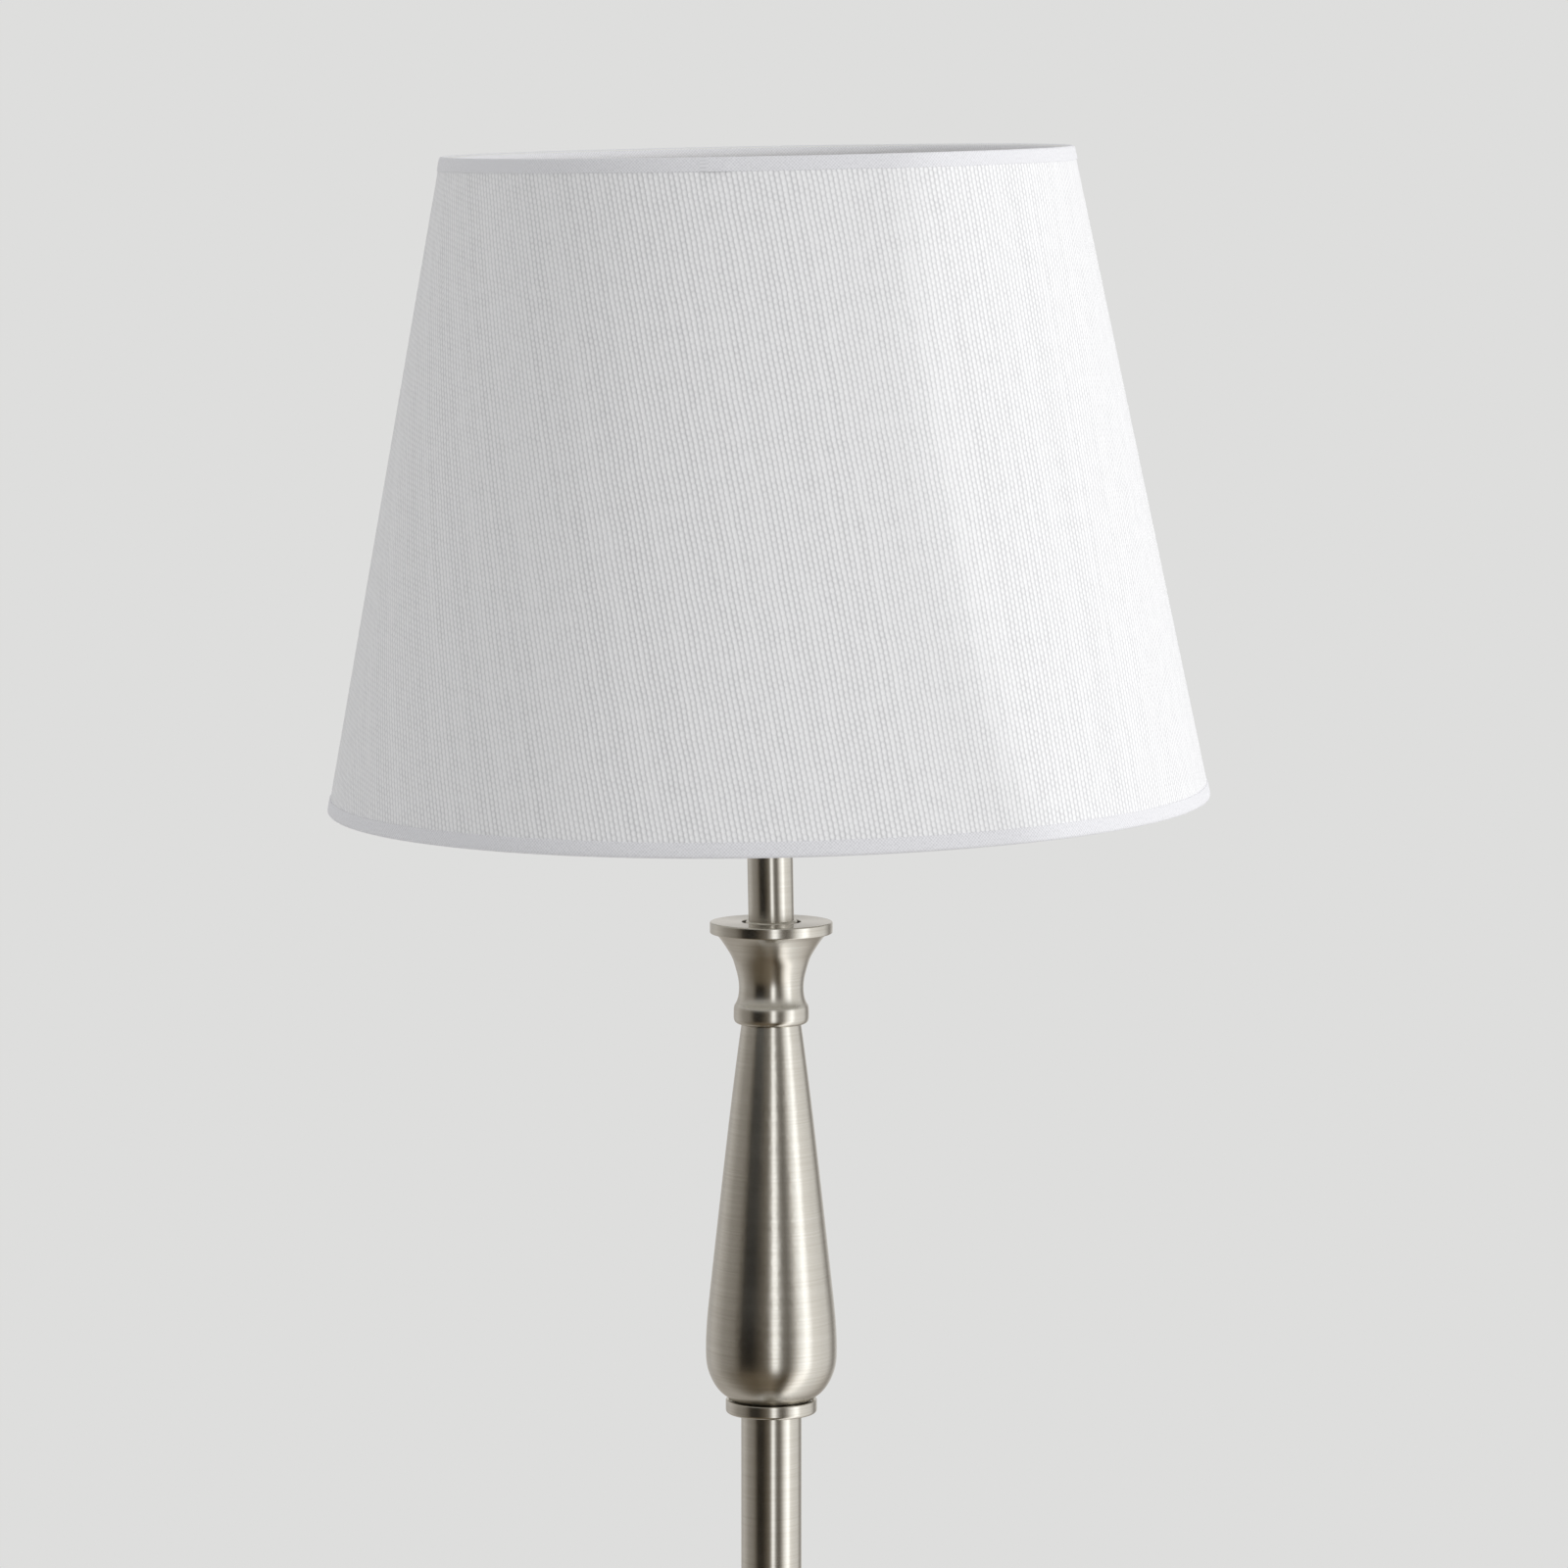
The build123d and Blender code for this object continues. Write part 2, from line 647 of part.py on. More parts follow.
def make_shade():
    fabric_out = tape_thick + skin_gap
    fabric_in = fabric_out + fabric_thick
    liner_out = fabric_in + skin_gap
    liner_in = liner_out + liner_thick
    slope = atan2((shade_bottom_d - shade_top_d) / 2, shade_height)
    wire_depth = liner_in + (wire_d / 2 + slip) / cos(slope)
    tape_depth = wire_depth + (wire_d / 2 + slip) / cos(slope) + tape_thick
    wall_low = shade_low + tape_thick + skin_gap
    wall_high = shade_high - tape_thick - skin_gap
    low_wire = wall_low + wire_d / 2
    high_wire = wall_high - wire_d / 2
    low_wire_r = shade_r(low_wire, wire_depth)
    high_wire_r = shade_r(high_wire, wire_depth)

    # spokes lie on the fitter ring, turn down and meet the bottom wire from inside
    spoke_high = fitter_high + spoke_d / 2 + skin_gap
    spoke_start = clamp_ring_d / 2 + spoke_clear
    spoke_end = low_wire_r - wire_d / 2 - slip
    path = FilletPolyline(
        (spoke_start, 0, spoke_high),
        (spoke_bend_d / 2, 0, spoke_high),
        (spoke_end, 0, low_wire),
        radius=spoke_bend_radius,
    )
    start = Plane(origin=(spoke_start, 0, spoke_high), z_dir=(1, 0, 0))
    spoke = sweep(start * Circle(spoke_d / 2), path=path) - wire_ring(low_wire, low_wire_r)
    notch = sweep(start * Circle(spoke_d / 2 + slip), path=path)
    first_turn = Rot(0, 0, 90)
    bottom_tape = edge_tape(shade_low, 1, tape_depth)
    for cut in around(first_turn * notch, spoke_count):
        bottom_tape -= cut

    pieces = {
        "fitter_ring": tube(fitter_d, holder_d + 2 * slip, fitter_low, fitter_high),
        "bottom_wire": wire_ring(low_wire, low_wire_r),
        "top_wire": wire_ring(high_wire, high_wire_r),
        "shade_fabric": cone_wall(wall_low, wall_high, fabric_out, fabric_in),
        "shade_liner": cone_wall(wall_low, wall_high, liner_out, liner_in),
        "bottom_tape": bottom_tape,
        "top_tape": edge_tape(shade_high, -1, tape_depth),
    }
    for i, copy in enumerate(around(first_turn * spoke, spoke_count)):
        pieces[f"spoke_{i + 1}"] = copy
    return pieces


def make_lamp():
    parts = {}
    for make in (make_foot, make_bell, make_pole, make_body, make_cup, make_stem_pipe):
        parts.update(make())
    for make in (make_neck, make_lampholder, make_switch, make_bulb, make_shade):
        for name, piece in make().items():
            parts[name] = upper_frame * piece
    return parts


if __name__ == "__main__":
    os.makedirs("parts", exist_ok=True)
    for name, piece in make_lamp().items():
        export_step(piece, f"parts/{name}.step")
        box = piece.bounding_box()
        print(f"{name:20s} {len(piece.solids())} solids  z {box.min.Z:8.2f} to {box.max.Z:8.2f}")
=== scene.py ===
import json
from math import atan2, cos, hypot, pi, radians, sin, tan, tau

import bpy
from mathutils import Matrix, Vector


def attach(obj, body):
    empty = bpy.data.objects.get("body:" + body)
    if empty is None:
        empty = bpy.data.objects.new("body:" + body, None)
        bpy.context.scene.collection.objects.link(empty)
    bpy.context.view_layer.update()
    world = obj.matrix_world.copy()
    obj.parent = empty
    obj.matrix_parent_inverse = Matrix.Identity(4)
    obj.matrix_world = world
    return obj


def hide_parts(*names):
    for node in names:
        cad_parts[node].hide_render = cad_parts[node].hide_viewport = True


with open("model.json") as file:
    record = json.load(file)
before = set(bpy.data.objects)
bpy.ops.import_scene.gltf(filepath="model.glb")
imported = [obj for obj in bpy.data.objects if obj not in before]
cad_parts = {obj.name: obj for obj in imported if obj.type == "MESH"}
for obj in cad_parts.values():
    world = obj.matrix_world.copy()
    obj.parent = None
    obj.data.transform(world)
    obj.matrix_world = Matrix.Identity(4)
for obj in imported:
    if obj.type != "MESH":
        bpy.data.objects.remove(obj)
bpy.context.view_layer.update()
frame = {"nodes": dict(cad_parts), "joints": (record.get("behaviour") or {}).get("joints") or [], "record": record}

# Looks for the column floor lamp. Metres, +Z up, front towards -Y.

nodes = frame["nodes"]
slotOf = {part["node"]: part["material_slot"] for part in frame["record"]["subparts"]}
jointOf = {joint["name"]: joint for joint in frame["joints"]}
mm = 0.001
noiseLow, noiseHigh = 0.3, 0.7     # nearly all of a noise texture lies between these


def toLinear(hexColour):
    channels = [int(hexColour[i:i + 2], 16) / 255 for i in (1, 3, 5)]
    return [c / 12.92 if c <= 0.04045 else ((c + 0.055) / 1.055) ** 2.4 for c in channels] + [1.0]


def addNode(tree, kind, settings=None, inputs=None):
    # a Mix node takes its colours at 6 and 7 and gives one at 2; plain numbers go in at 2 and 3 and out at 0
    node = tree.nodes.new(kind)
    for name, value in (settings or {}).items():
        setattr(node, name, value)
    for name, value in (inputs or {}).items():
        if isinstance(value, bpy.types.NodeSocket):
            tree.links.new(value, node.inputs[name])
        else:
            node.inputs[name].default_value = value
    return node


def newMaterial(name):
    material = bpy.data.materials.new(name)
    material.use_nodes = True
    material.node_tree.nodes.clear()
    return material, material.node_tree


def finishMaterial(tree, shader):
    addNode(tree, "ShaderNodeOutputMaterial", inputs={"Surface": shader.outputs[0]})


def smoothStep(low, high, x):
    t = min(max((x - low) / (high - low), 0), 1)
    return t * t * (3 - 2 * t)


def ripple(seed, x):
    # slow, repeatable unevenness between -1 and 1
    return (sin(x + seed) + 0.6 * sin(2.3 * x + 1.7 * seed) + 0.4 * sin(5.1 * x + 0.9 * seed)) / 2


cameraSetup = {
    "place": (0.0053, -2.552, 1.5418),
    "pitchDown": 5.665,      # degrees below level
    "lens": 141.75,
    "sensor": 36.0,
}
cameraData = bpy.data.cameras.new("camera")
cameraData.lens = cameraSetup["lens"]
cameraData.sensor_width = cameraSetup["sensor"]
cameraObject = bpy.data.objects.new("camera", cameraData)
cameraObject.location = cameraSetup["place"]
cameraObject.rotation_euler = (radians(90 - cameraSetup["pitchDown"]), 0, 0)
bpy.context.scene.collection.objects.link(cameraObject)
bpy.context.scene.camera = cameraObject
bpy.context.scene.view_settings.view_transform = "Standard"
print("camera placed")


# azimuths are degrees from the front, + to the right; a level is how bright it makes a white wall facing it
studio = {
    "backdrop": "#dededd",
    "fillLevel": 0.645,            # even light from all round
    "window": {"azimuth": 55, "height": 1.9, "distance": 2.6, "size": (1.0, 2.0), "level": 0.40,
               "aim": 1.3},
    "behind": {"azimuth": 205, "height": 1.8, "distance": 2.8, "size": (1.2, 1.6), "level": 0.15,
               "aim": 1.2},
    "sunPatch": {
        "azimuth": 58,
        "height": 1.75,
        "distance": 3.4,
        "cone": 20,
        "blend": 0.03,
        "size": 0.012,
        "level": 0.051,
        "edge": 0.093,             # metres from the lamp's middle to the patch's left edge
        "aim": 1.40,
    },
}
# what polished metal sees round the room: azimuth, brightness, and how warm it is
roomRound = [
    (-180, 0.75, 0.1), (-165, 0.55, 0.2), (-150, 0.52, 0.1), (-127, 0.62, 0.1), (-110, 0.50, 0.15),
    (-96, 0.37, 0.2), (-83, 0.32, 0.25), (-71, 0.26, 0.3), (-61, 0.13, 0.5), (-53, 0.02, 0.9),
    (-43, 0.004, 1.0), (-33, 0.006, 1.0), (-24, 0.05, 0.8), (-15, 0.12, 0.6), (-7, 0.22, 0.4),
    (-1, 0.62, 0.1), (4, 1.70, -0.1), (10, 1.60, -0.1), (15, 0.70, 0.0), (21, 0.28, 0.2), (29, 0.17, 0.3),
    (36, 0.28, 0.2), (43, 0.62, 0.1), (49, 1.05, 0.0), (57, 1.45, -0.1), (66, 2.00, -0.1), (72, 1.70, -0.1),
    (79, 1.15, 0.0), (100, 0.98, 0.0), (118, 0.88, 0.0), (140, 0.32, 0.2), (163, 0.70, 0.1),
]
# and below the level of the eye, towards the floor
roomLow = [
    (-180, 0.45, 0.3), (-120, 0.50, 0.2), (-100, 0.36, 0.3), (-79, 0.22, 0.5), (-60, 0.15, 0.8),
    (-35, 0.14, 0.9), (-20, 0.18, 0.8), (0, 0.22, 0.8), (11, 0.13, 1.0), (21, 0.07, 1.3), (32, 0.12, 0.9),
    (44, 0.85, 0.2), (55, 1.60, 0.0), (67, 1.75, 0.0), (79, 1.15, 0.0), (95, 0.98, 0.0), (115, 0.82, 0.1),
    (145, 0.40, 0.3),
]
room = {
    "peak": 4.0,                   # brightness of a full ramp stop
    "warmGreen": 0.22,             # share of the green and of the blue that a warmth of 1 takes away
    "warmBlue": 0.5,
    "plain": "#6f6f6e",            # the upper walls, as a ramp stop
    # rise of the sight line where a blend starts, where it ends, and how far it goes
    "towardsFloor": (-0.24, -0.50, 1.0),
    "towardsWalls": (0.13, 0.30, 0.7),
    "towardsCeiling": (0.45, 0.9, 1.0),
}


def hangLight(name, kind, setup):
    light = bpy.data.lights.new(name, kind)
    lamp = bpy.data.objects.new(name, light)
    turn = radians(setup["azimuth"])
    lamp.location = (setup["distance"] * sin(turn), -setup["distance"] * cos(turn), setup["height"])
    lamp.visible_glossy = False    # metal sees the room instead
    bpy.context.scene.collection.objects.link(lamp)
    return light, lamp


def pointAt(lamp, target):
    lamp.rotation_euler = (Vector(target) - lamp.location).to_track_quat("-Z", "Y").to_euler()


def addAreaLight(name, setup):
    light, lamp = hangLight(name, "AREA", setup)
    light.shape = "RECTANGLE"
    light.size, light.size_y = setup["size"]
    light.energy = setup["level"] * pi * pi * setup["distance"] ** 2
    lamp.visible_camera = False
    pointAt(lamp, (0, 0, setup["aim"]))


def addSunPatch(name, setup):
    # low sun through a window: its left edge falls down the shade, right of the middle
    light, lamp = hangLight(name, "SPOT", setup)
    light.spot_size = radians(setup["cone"])
    light.spot_blend = setup["blend"]
    light.shadow_soft_size = setup["size"]
    light.energy = setup["level"] * 4 * pi ** 3 * setup["distance"] ** 2
    turn = radians(setup["azimuth"])
    swing = radians(setup["cone"] / 2) - atan2(setup["edge"], setup["distance"])
    reach = setup["distance"] * tan(swing)
    pointAt(lamp, (reach * cos(turn), reach * sin(turn), setup["aim"]))


def makeWorld():
    world = bpy.data.worlds.new("studio")
    bpy.context.scene.world = world
    world.use_nodes = True
    world.cycles.sampling_method = "NONE"   # so that each kind of ray meets its own room
    tree = world.node_tree
    tree.nodes.clear()
    ray = addNode(tree, "ShaderNodeLightPath")
    direction = addNode(tree, "ShaderNodeTexCoord")
    axes = addNode(tree, "ShaderNodeSeparateXYZ", inputs={0: direction.outputs["Generated"]})
    towards = addNode(tree, "ShaderNodeMath", {"operation": "MULTIPLY"}, {0: axes.outputs["Y"], 1: -1.0})
    azimuth = addNode(tree, "ShaderNodeMath", {"operation": "ARCTAN2"}, {
        0: axes.outputs["X"], 1: towards.outputs[0]})
    share = addNode(tree, "ShaderNodeMapRange", inputs={
        "Value": azimuth.outputs[0], "From Min": -pi, "From Max": pi})
    ramps = []
    for levels in (roomRound, roomLow):
        ramp = addNode(tree, "ShaderNodeValToRGB", inputs={"Fac": share.outputs["Result"]})
        stops = ramp.color_ramp.elements
        while len(stops) > 1:
            stops.remove(stops[-1])
        for i, (degrees, level, warmth) in enumerate(levels):
            position = (degrees + 180) / 360
            stop = stops[0] if i == 0 else stops.new(position)
            stop.position = position
            part = level / room["peak"]
            green = part * (1 - room["warmGreen"] * warmth)
            blue = part * (1 - room["warmBlue"] * warmth)
            stop.color = (part, green, blue, 1)
        ramps.append(ramp)
    lower, upper, top = [
        addNode(tree, "ShaderNodeMapRange", {"interpolation_type": "SMOOTHSTEP"}, {
            "Value": axes.outputs["Z"], "From Min": start, "From Max": end, "To Max": most})
        for start, end, most in (room["towardsFloor"], room["towardsWalls"], room["towardsCeiling"])]
    walls = addNode(tree, "ShaderNodeMix", {"data_type": "RGBA"}, {
        "Factor": lower.outputs["Result"], 6: ramps[0].outputs["Color"], 7: ramps[1].outputs["Color"]})
    plainer = addNode(tree, "ShaderNodeMath", {"operation": "MAXIMUM"}, {
        0: upper.outputs["Result"], 1: top.outputs["Result"]})
    seen = addNode(tree, "ShaderNodeMix", {"data_type": "RGBA"}, {
        "Factor": plainer.outputs[0], 6: walls.outputs[2], 7: toLinear(room["plain"])})
    fill = addNode(tree, "ShaderNodeBackground", inputs={
        "Color": toLinear("#ffffff"), "Strength": studio["fillLevel"]})
    shown = addNode(tree, "ShaderNodeBackground", inputs={"Color": toLinear(studio["backdrop"])})
    mirrored = addNode(tree, "ShaderNodeBackground", inputs={
        "Color": seen.outputs[2], "Strength": room["peak"]})
    direct = addNode(tree, "ShaderNodeMath", {"operation": "MAXIMUM"}, {
        0: ray.outputs["Is Camera Ray"], 1: ray.outputs["Is Transmission Ray"]})
    first = addNode(tree, "ShaderNodeMixShader", inputs={
        0: direct.outputs[0], 1: fill.outputs[0], 2: shown.outputs[0]})
    second = addNode(tree, "ShaderNodeMixShader", inputs={
        0: ray.outputs["Is Glossy Ray"], 1: first.outputs[0], 2: mirrored.outputs[0]})
    addNode(tree, "ShaderNodeOutputWorld", inputs={"Surface": second.outputs[0]})


makeWorld()
addAreaLight("windowLight", studio["window"])
addAreaLight("backLight", studio["behind"])
addSunPatch("sunPatch", studio["sunPatch"])
print("room and lamps ready")


# Matt floor paint with a fine grit, running out into the backdrop.
floorPaint = {
    "colour": "#dcdcda",
    "seen": "#f1f1ef",             # paler to the camera, so that it meets the backdrop with its shadow kept
    "radius": 6.0,
    "corners": 64,
    "drop": 0.0005,                # under the felt
    "fade": (1.0, 2.6),            # metres from the lamp: paint to backdrop
    "mirrorFade": (0.16, 0.42),    # the same in what metal sees of it
    "grit": 900.0,                 # grains to the metre
    "gritDepth": 0.2,              # mm
    "gritStrength": 0.2,
}


def makeFloor():
    material, tree = newMaterial("painted floor")
    ray = addNode(tree, "ShaderNodeLightPath")
    place = addNode(tree, "ShaderNodeTexCoord")
    radius = addNode(tree, "ShaderNodeVectorMath", {"operation": "LENGTH"}, {0: place.outputs["Object"]})
    fade, nearer = [
        addNode(tree, "ShaderNodeMapRange", {"interpolation_type": "SMOOTHSTEP"}, {
            "Value": radius.outputs["Value"], "From Min": start, "From Max": end})
        for start, end in (floorPaint["fade"], floorPaint["mirrorFade"])]
    reached = addNode(tree, "ShaderNodeMix", inputs={
        "Factor": ray.outputs["Is Glossy Ray"], 2: fade.outputs["Result"], 3: nearer.outputs["Result"]})
    grit = addNode(tree, "ShaderNodeTexNoise", inputs={
        "Vector": place.outputs["Object"], "Scale": floorPaint["grit"], "Detail": 2.0})
    grain = addNode(tree, "ShaderNodeBump", inputs={
        "Height": grit.outputs["Fac"], "Strength": floorPaint["gritStrength"],
        "Distance": floorPaint["gritDepth"] * mm})
    paint = addNode(tree, "ShaderNodeMix", {"data_type": "RGBA"}, {
        "Factor": ray.outputs["Is Camera Ray"],
        6: toLinear(floorPaint["colour"]), 7: toLinear(floorPaint["seen"])})
    matt = addNode(tree, "ShaderNodeBsdfDiffuse", inputs={
        "Color": paint.outputs[2], "Roughness": 1.0, "Normal": grain.outputs["Normal"]})
    shown = addNode(tree, "ShaderNodeEmission", inputs={"Color": toLinear(studio["backdrop"])})
    through = addNode(tree, "ShaderNodeBsdfTransparent")
    far = addNode(tree, "ShaderNodeMixShader", inputs={
        0: ray.outputs["Is Glossy Ray"], 1: shown.outputs[0], 2: through.outputs[0]})
    surface = addNode(tree, "ShaderNodeMixShader", inputs={
        0: reached.outputs[0], 1: matt.outputs[0], 2: far.outputs[0]})
    finishMaterial(tree, surface)
    count = floorPaint["corners"]
    turns = [tau * i / count for i in range(count)]
    rim = [(floorPaint["radius"] * cos(turn), floorPaint["radius"] * sin(turn), 0) for turn in turns]
    mesh = bpy.data.meshes.new("floor")
    mesh.from_pydata(rim, [], [tuple(range(count))])
    mesh.materials.append(material)
    floorDisc = bpy.data.objects.new("floor", mesh)
    floorDisc.location.z = -floorPaint["drop"]
    bpy.context.scene.collection.objects.link(floorDisc)


makeFloor()
print("floor laid")


# Satin nickel plate over steel, brushed while it turns on the lathe: a warm grey mirror drawn out along
# the axis, crossed by fine level lines.
nickel = {
    "bright": "#d0ccc3",
    "dull": "#c3beb4",
    "toneRange": (0.5, 1.0),
    "roughness": 0.20,
    "unevenness": 0.02,      # of the roughness
    "drawnOut": 0.80,
    "lineSpacing": 0.8,      # mm; the real 0.1 to 0.2 mm brush lines are too fine to show
    "lineDepth": 0.003,      # mm
    "lineBreaks": 12.0,      # along a line, to the metre
    "bands": 0.22,           # broader bands to each line
    "bandBreaks": 7.0,
    "bandWeight": 0.5,
    "clouds": 38.0,          # to the metre
}


def makeBrushedNickel():
    material, tree = newMaterial("brushed nickel plate")
    place = addNode(tree, "ShaderNodeTexCoord")
    linesUp = 1 / (nickel["lineSpacing"] * mm)
    # lines run level round the axis: stretched little across, tightly packed in height
    packed = addNode(tree, "ShaderNodeMapping", inputs={
        "Vector": place.outputs["Object"], "Scale": (nickel["lineBreaks"], nickel["lineBreaks"], linesUp)})
    lines = addNode(tree, "ShaderNodeTexNoise", inputs={
        "Vector": packed.outputs["Vector"], "Scale": 1.0, "Detail": 4.0, "Roughness": 0.65})
    coarse = addNode(tree, "ShaderNodeMapping", inputs={
        "Vector": place.outputs["Object"],
        "Scale": (nickel["bandBreaks"], nickel["bandBreaks"], nickel["bands"] * linesUp)})
    bands = addNode(tree, "ShaderNodeTexNoise", inputs={
        "Vector": coarse.outputs["Vector"], "Scale": 1.0, "Detail": 2.0})
    clouds = addNode(tree, "ShaderNodeTexNoise", inputs={
        "Vector": place.outputs["Object"], "Scale": nickel["clouds"], "Detail": 3.0})
    mixed = addNode(tree, "ShaderNodeMath", {"operation": "MULTIPLY_ADD"}, {
        0: bands.outputs["Fac"], 1: nickel["bandWeight"], 2: lines.outputs["Fac"]})
    share = addNode(tree, "ShaderNodeMapRange", inputs={
        "Value": mixed.outputs[0], "From Min": nickel["toneRange"][0], "From Max": nickel["toneRange"][1]})
    tone = addNode(tree, "ShaderNodeMix", {"data_type": "RGBA"}, {
        "Factor": share.outputs["Result"], 6: toLinear(nickel["dull"]), 7: toLinear(nickel["bright"])})
    gloss = addNode(tree, "ShaderNodeMapRange", inputs={
        "Value": clouds.outputs["Fac"], "From Min": noiseLow, "From Max": noiseHigh,
        "To Min": nickel["roughness"] - nickel["unevenness"],
        "To Max": nickel["roughness"] + nickel["unevenness"]})
    relief = addNode(tree, "ShaderNodeBump", inputs={
        "Height": lines.outputs["Fac"], "Strength": 1.0, "Distance": nickel["lineDepth"] * mm})
    brushing = addNode(tree, "ShaderNodeTangent", {"direction_type": "RADIAL", "axis": "Z"})
    shader = addNode(tree, "ShaderNodeBsdfPrincipled", inputs={
        "Base Color": tone.outputs[2], "Metallic": 1.0, "Roughness": gloss.outputs["Result"],
        "Anisotropic": nickel["drawnOut"], "Anisotropic Rotation": 0.25,
        "Tangent": brushing.outputs["Tangent"], "Normal": relief.outputs["Normal"]})
    finishMaterial(tree, shader)
    return material


# The other metals, bare or thinly plated. Each has cloudy wear in its gloss and fine marks from its making,
# so many to the metre each way.
otherMetals = {
    # Zinc electroplate over turned steel, blue passivated: a cool, slightly milky grey.
    "zinc_steel": {"name": "zinc plated steel", "bright": "#c4c8cc", "dull": "#a2a7ac", "roughness": 0.34,
                   "marks": (60, 60, 700), "markDepth": 0.004},
    # Rolled brass strip: soft yellow, a little browned in patches.
    "brass": {"name": "rolled brass", "bright": "#dcc386", "dull": "#b59a5e", "roughness": 0.28,
              "marks": (300, 300, 300), "markDepth": 0.004},
    # Drawn aluminium alloy cap: pale grey satin.
    "bulb_cap_alloy": {"name": "drawn aluminium", "bright": "#d3d4d5", "dull": "#b4b6b8", "roughness": 0.32,
                       "marks": (40, 40, 900), "markDepth": 0.005},
}
wear = {
    "clouds": 140.0,         # to the metre
    "weight": 0.7,
    "toneRange": (0.6, 1.1),
    "rougher": 0.06,
    "smoother": 0.04,
}


def makePlainMetal(look):
    material, tree = newMaterial(look["name"])
    place = addNode(tree, "ShaderNodeTexCoord")
    drawn = addNode(tree, "ShaderNodeMapping", inputs={
        "Vector": place.outputs["Object"], "Scale": look["marks"]})
    marks = addNode(tree, "ShaderNodeTexNoise", inputs={
        "Vector": drawn.outputs["Vector"], "Scale": 1.0, "Detail": 4.0, "Roughness": 0.6})
    clouds = addNode(tree, "ShaderNodeTexNoise", inputs={
        "Vector": place.outputs["Object"], "Scale": wear["clouds"], "Detail": 3.0})
    blotch = addNode(tree, "ShaderNodeMath", {"operation": "MULTIPLY_ADD"}, {
        0: clouds.outputs["Fac"], 1: wear["weight"], 2: marks.outputs["Fac"]})
    share = addNode(tree, "ShaderNodeMapRange", inputs={
        "Value": blotch.outputs[0], "From Min": wear["toneRange"][0], "From Max": wear["toneRange"][1]})
    tone = addNode(tree, "ShaderNodeMix", {"data_type": "RGBA"}, {
        "Factor": share.outputs["Result"], 6: toLinear(look["dull"]), 7: toLinear(look["bright"])})
    gloss = addNode(tree, "ShaderNodeMapRange", inputs={
        "Value": clouds.outputs["Fac"], "From Min": noiseLow, "From Max": noiseHigh,
        "To Min": look["roughness"] + wear["rougher"], "To Max": look["roughness"] - wear["smoother"]})
    relief = addNode(tree, "ShaderNodeBump", inputs={
        "Height": marks.outputs["Fac"], "Strength": 1.0, "Distance": look["markDepth"] * mm})
    shader = addNode(tree, "ShaderNodeBsdfPrincipled", inputs={
        "Base Color": tone.outputs[2], "Metallic": 1.0, "Roughness": gloss.outputs["Result"],
        "Normal": relief.outputs["Normal"]})
    finishMaterial(tree, shader)
    return material


# Everything that is not metal and not cloth: two tones mixed by a grain of the real size, and a relief of
# its own, both in mm.
coatings = {
    # Grey iron from a sand mould, painted black to keep rust off: gritty and nearly matt.
    "cast_iron": {"name": "sand cast iron", "high": "#3a3b3d", "low": "#232426", "roughness": (0.62, 0.85),
                  "grain": 0.9, "relief": 0.22, "ior": 1.5, "coat": 0.0, "sheen": 0.0},
    # Pressed wool felt: matt, hairy black that lightens at a low angle.
    "felt": {"name": "pressed wool felt", "high": "#35363a", "low": "#17181a", "roughness": (0.92, 1.0),
             "grain": 0.5, "relief": 0.35, "ior": 1.45, "coat": 0.0, "sheen": 0.6},
    # Compression moulded phenolic resin: deep black, polished by the mould, faint flow marks.
    "black_phenolic": {"name": "moulded phenolic", "high": "#1d1c1c", "low": "#121111",
                       "roughness": (0.24, 0.36), "grain": 2.5, "relief": 0.012, "ior": 1.6, "coat": 0.0,
                       "sheen": 0.0},
    # Steatite under a clear glaze: warm white, wet gloss, a few soft waves.
    "porcelain": {"name": "glazed porcelain", "high": "#f1eee6", "low": "#e3dfd5", "roughness": (0.12, 0.22),
                  "grain": 3.0, "relief": 0.03, "ior": 1.54, "coat": 0.4, "sheen": 0.0},
    # Steel wire under white epoxy powder, baked: satin with a fine orange peel.
    "white_wire": {"name": "white powder coat", "high": "#eeeeec", "low": "#e2e2df",
                   "roughness": (0.36, 0.5), "grain": 0.8, "relief": 0.03, "ior": 1.5, "coat": 0.0,
                   "sheen": 0.0},
    # Soda glass with baked silica inside: milk white under a smooth clear skin.
    "opal_glass": {"name": "opal glass", "high": "#f4f3ee", "low": "#ecebe5", "roughness": (0.30, 0.38),
                   "grain": 1.6, "relief": 0.004, "ior": 1.52, "coat": 1.0, "sheen": 0.0},
    # Dark lead glass, run in hot between cap and contact: glossy, with a violet cast.
    "bulb_black_glass": {"name": "black lead glass", "high": "#1b1620", "low": "#0f0d12",
                         "roughness": (0.08, 0.18), "grain": 2.0, "relief": 0.03, "ior": 1.6, "coat": 0.0,
                         "sheen": 0.0},
}
drifting = {
    "clouds": 35.0,          # to the metre
    "weight": 0.6,
    "toneRange": (0.55, 1.05),
    "coatRoughness": 0.04,
}


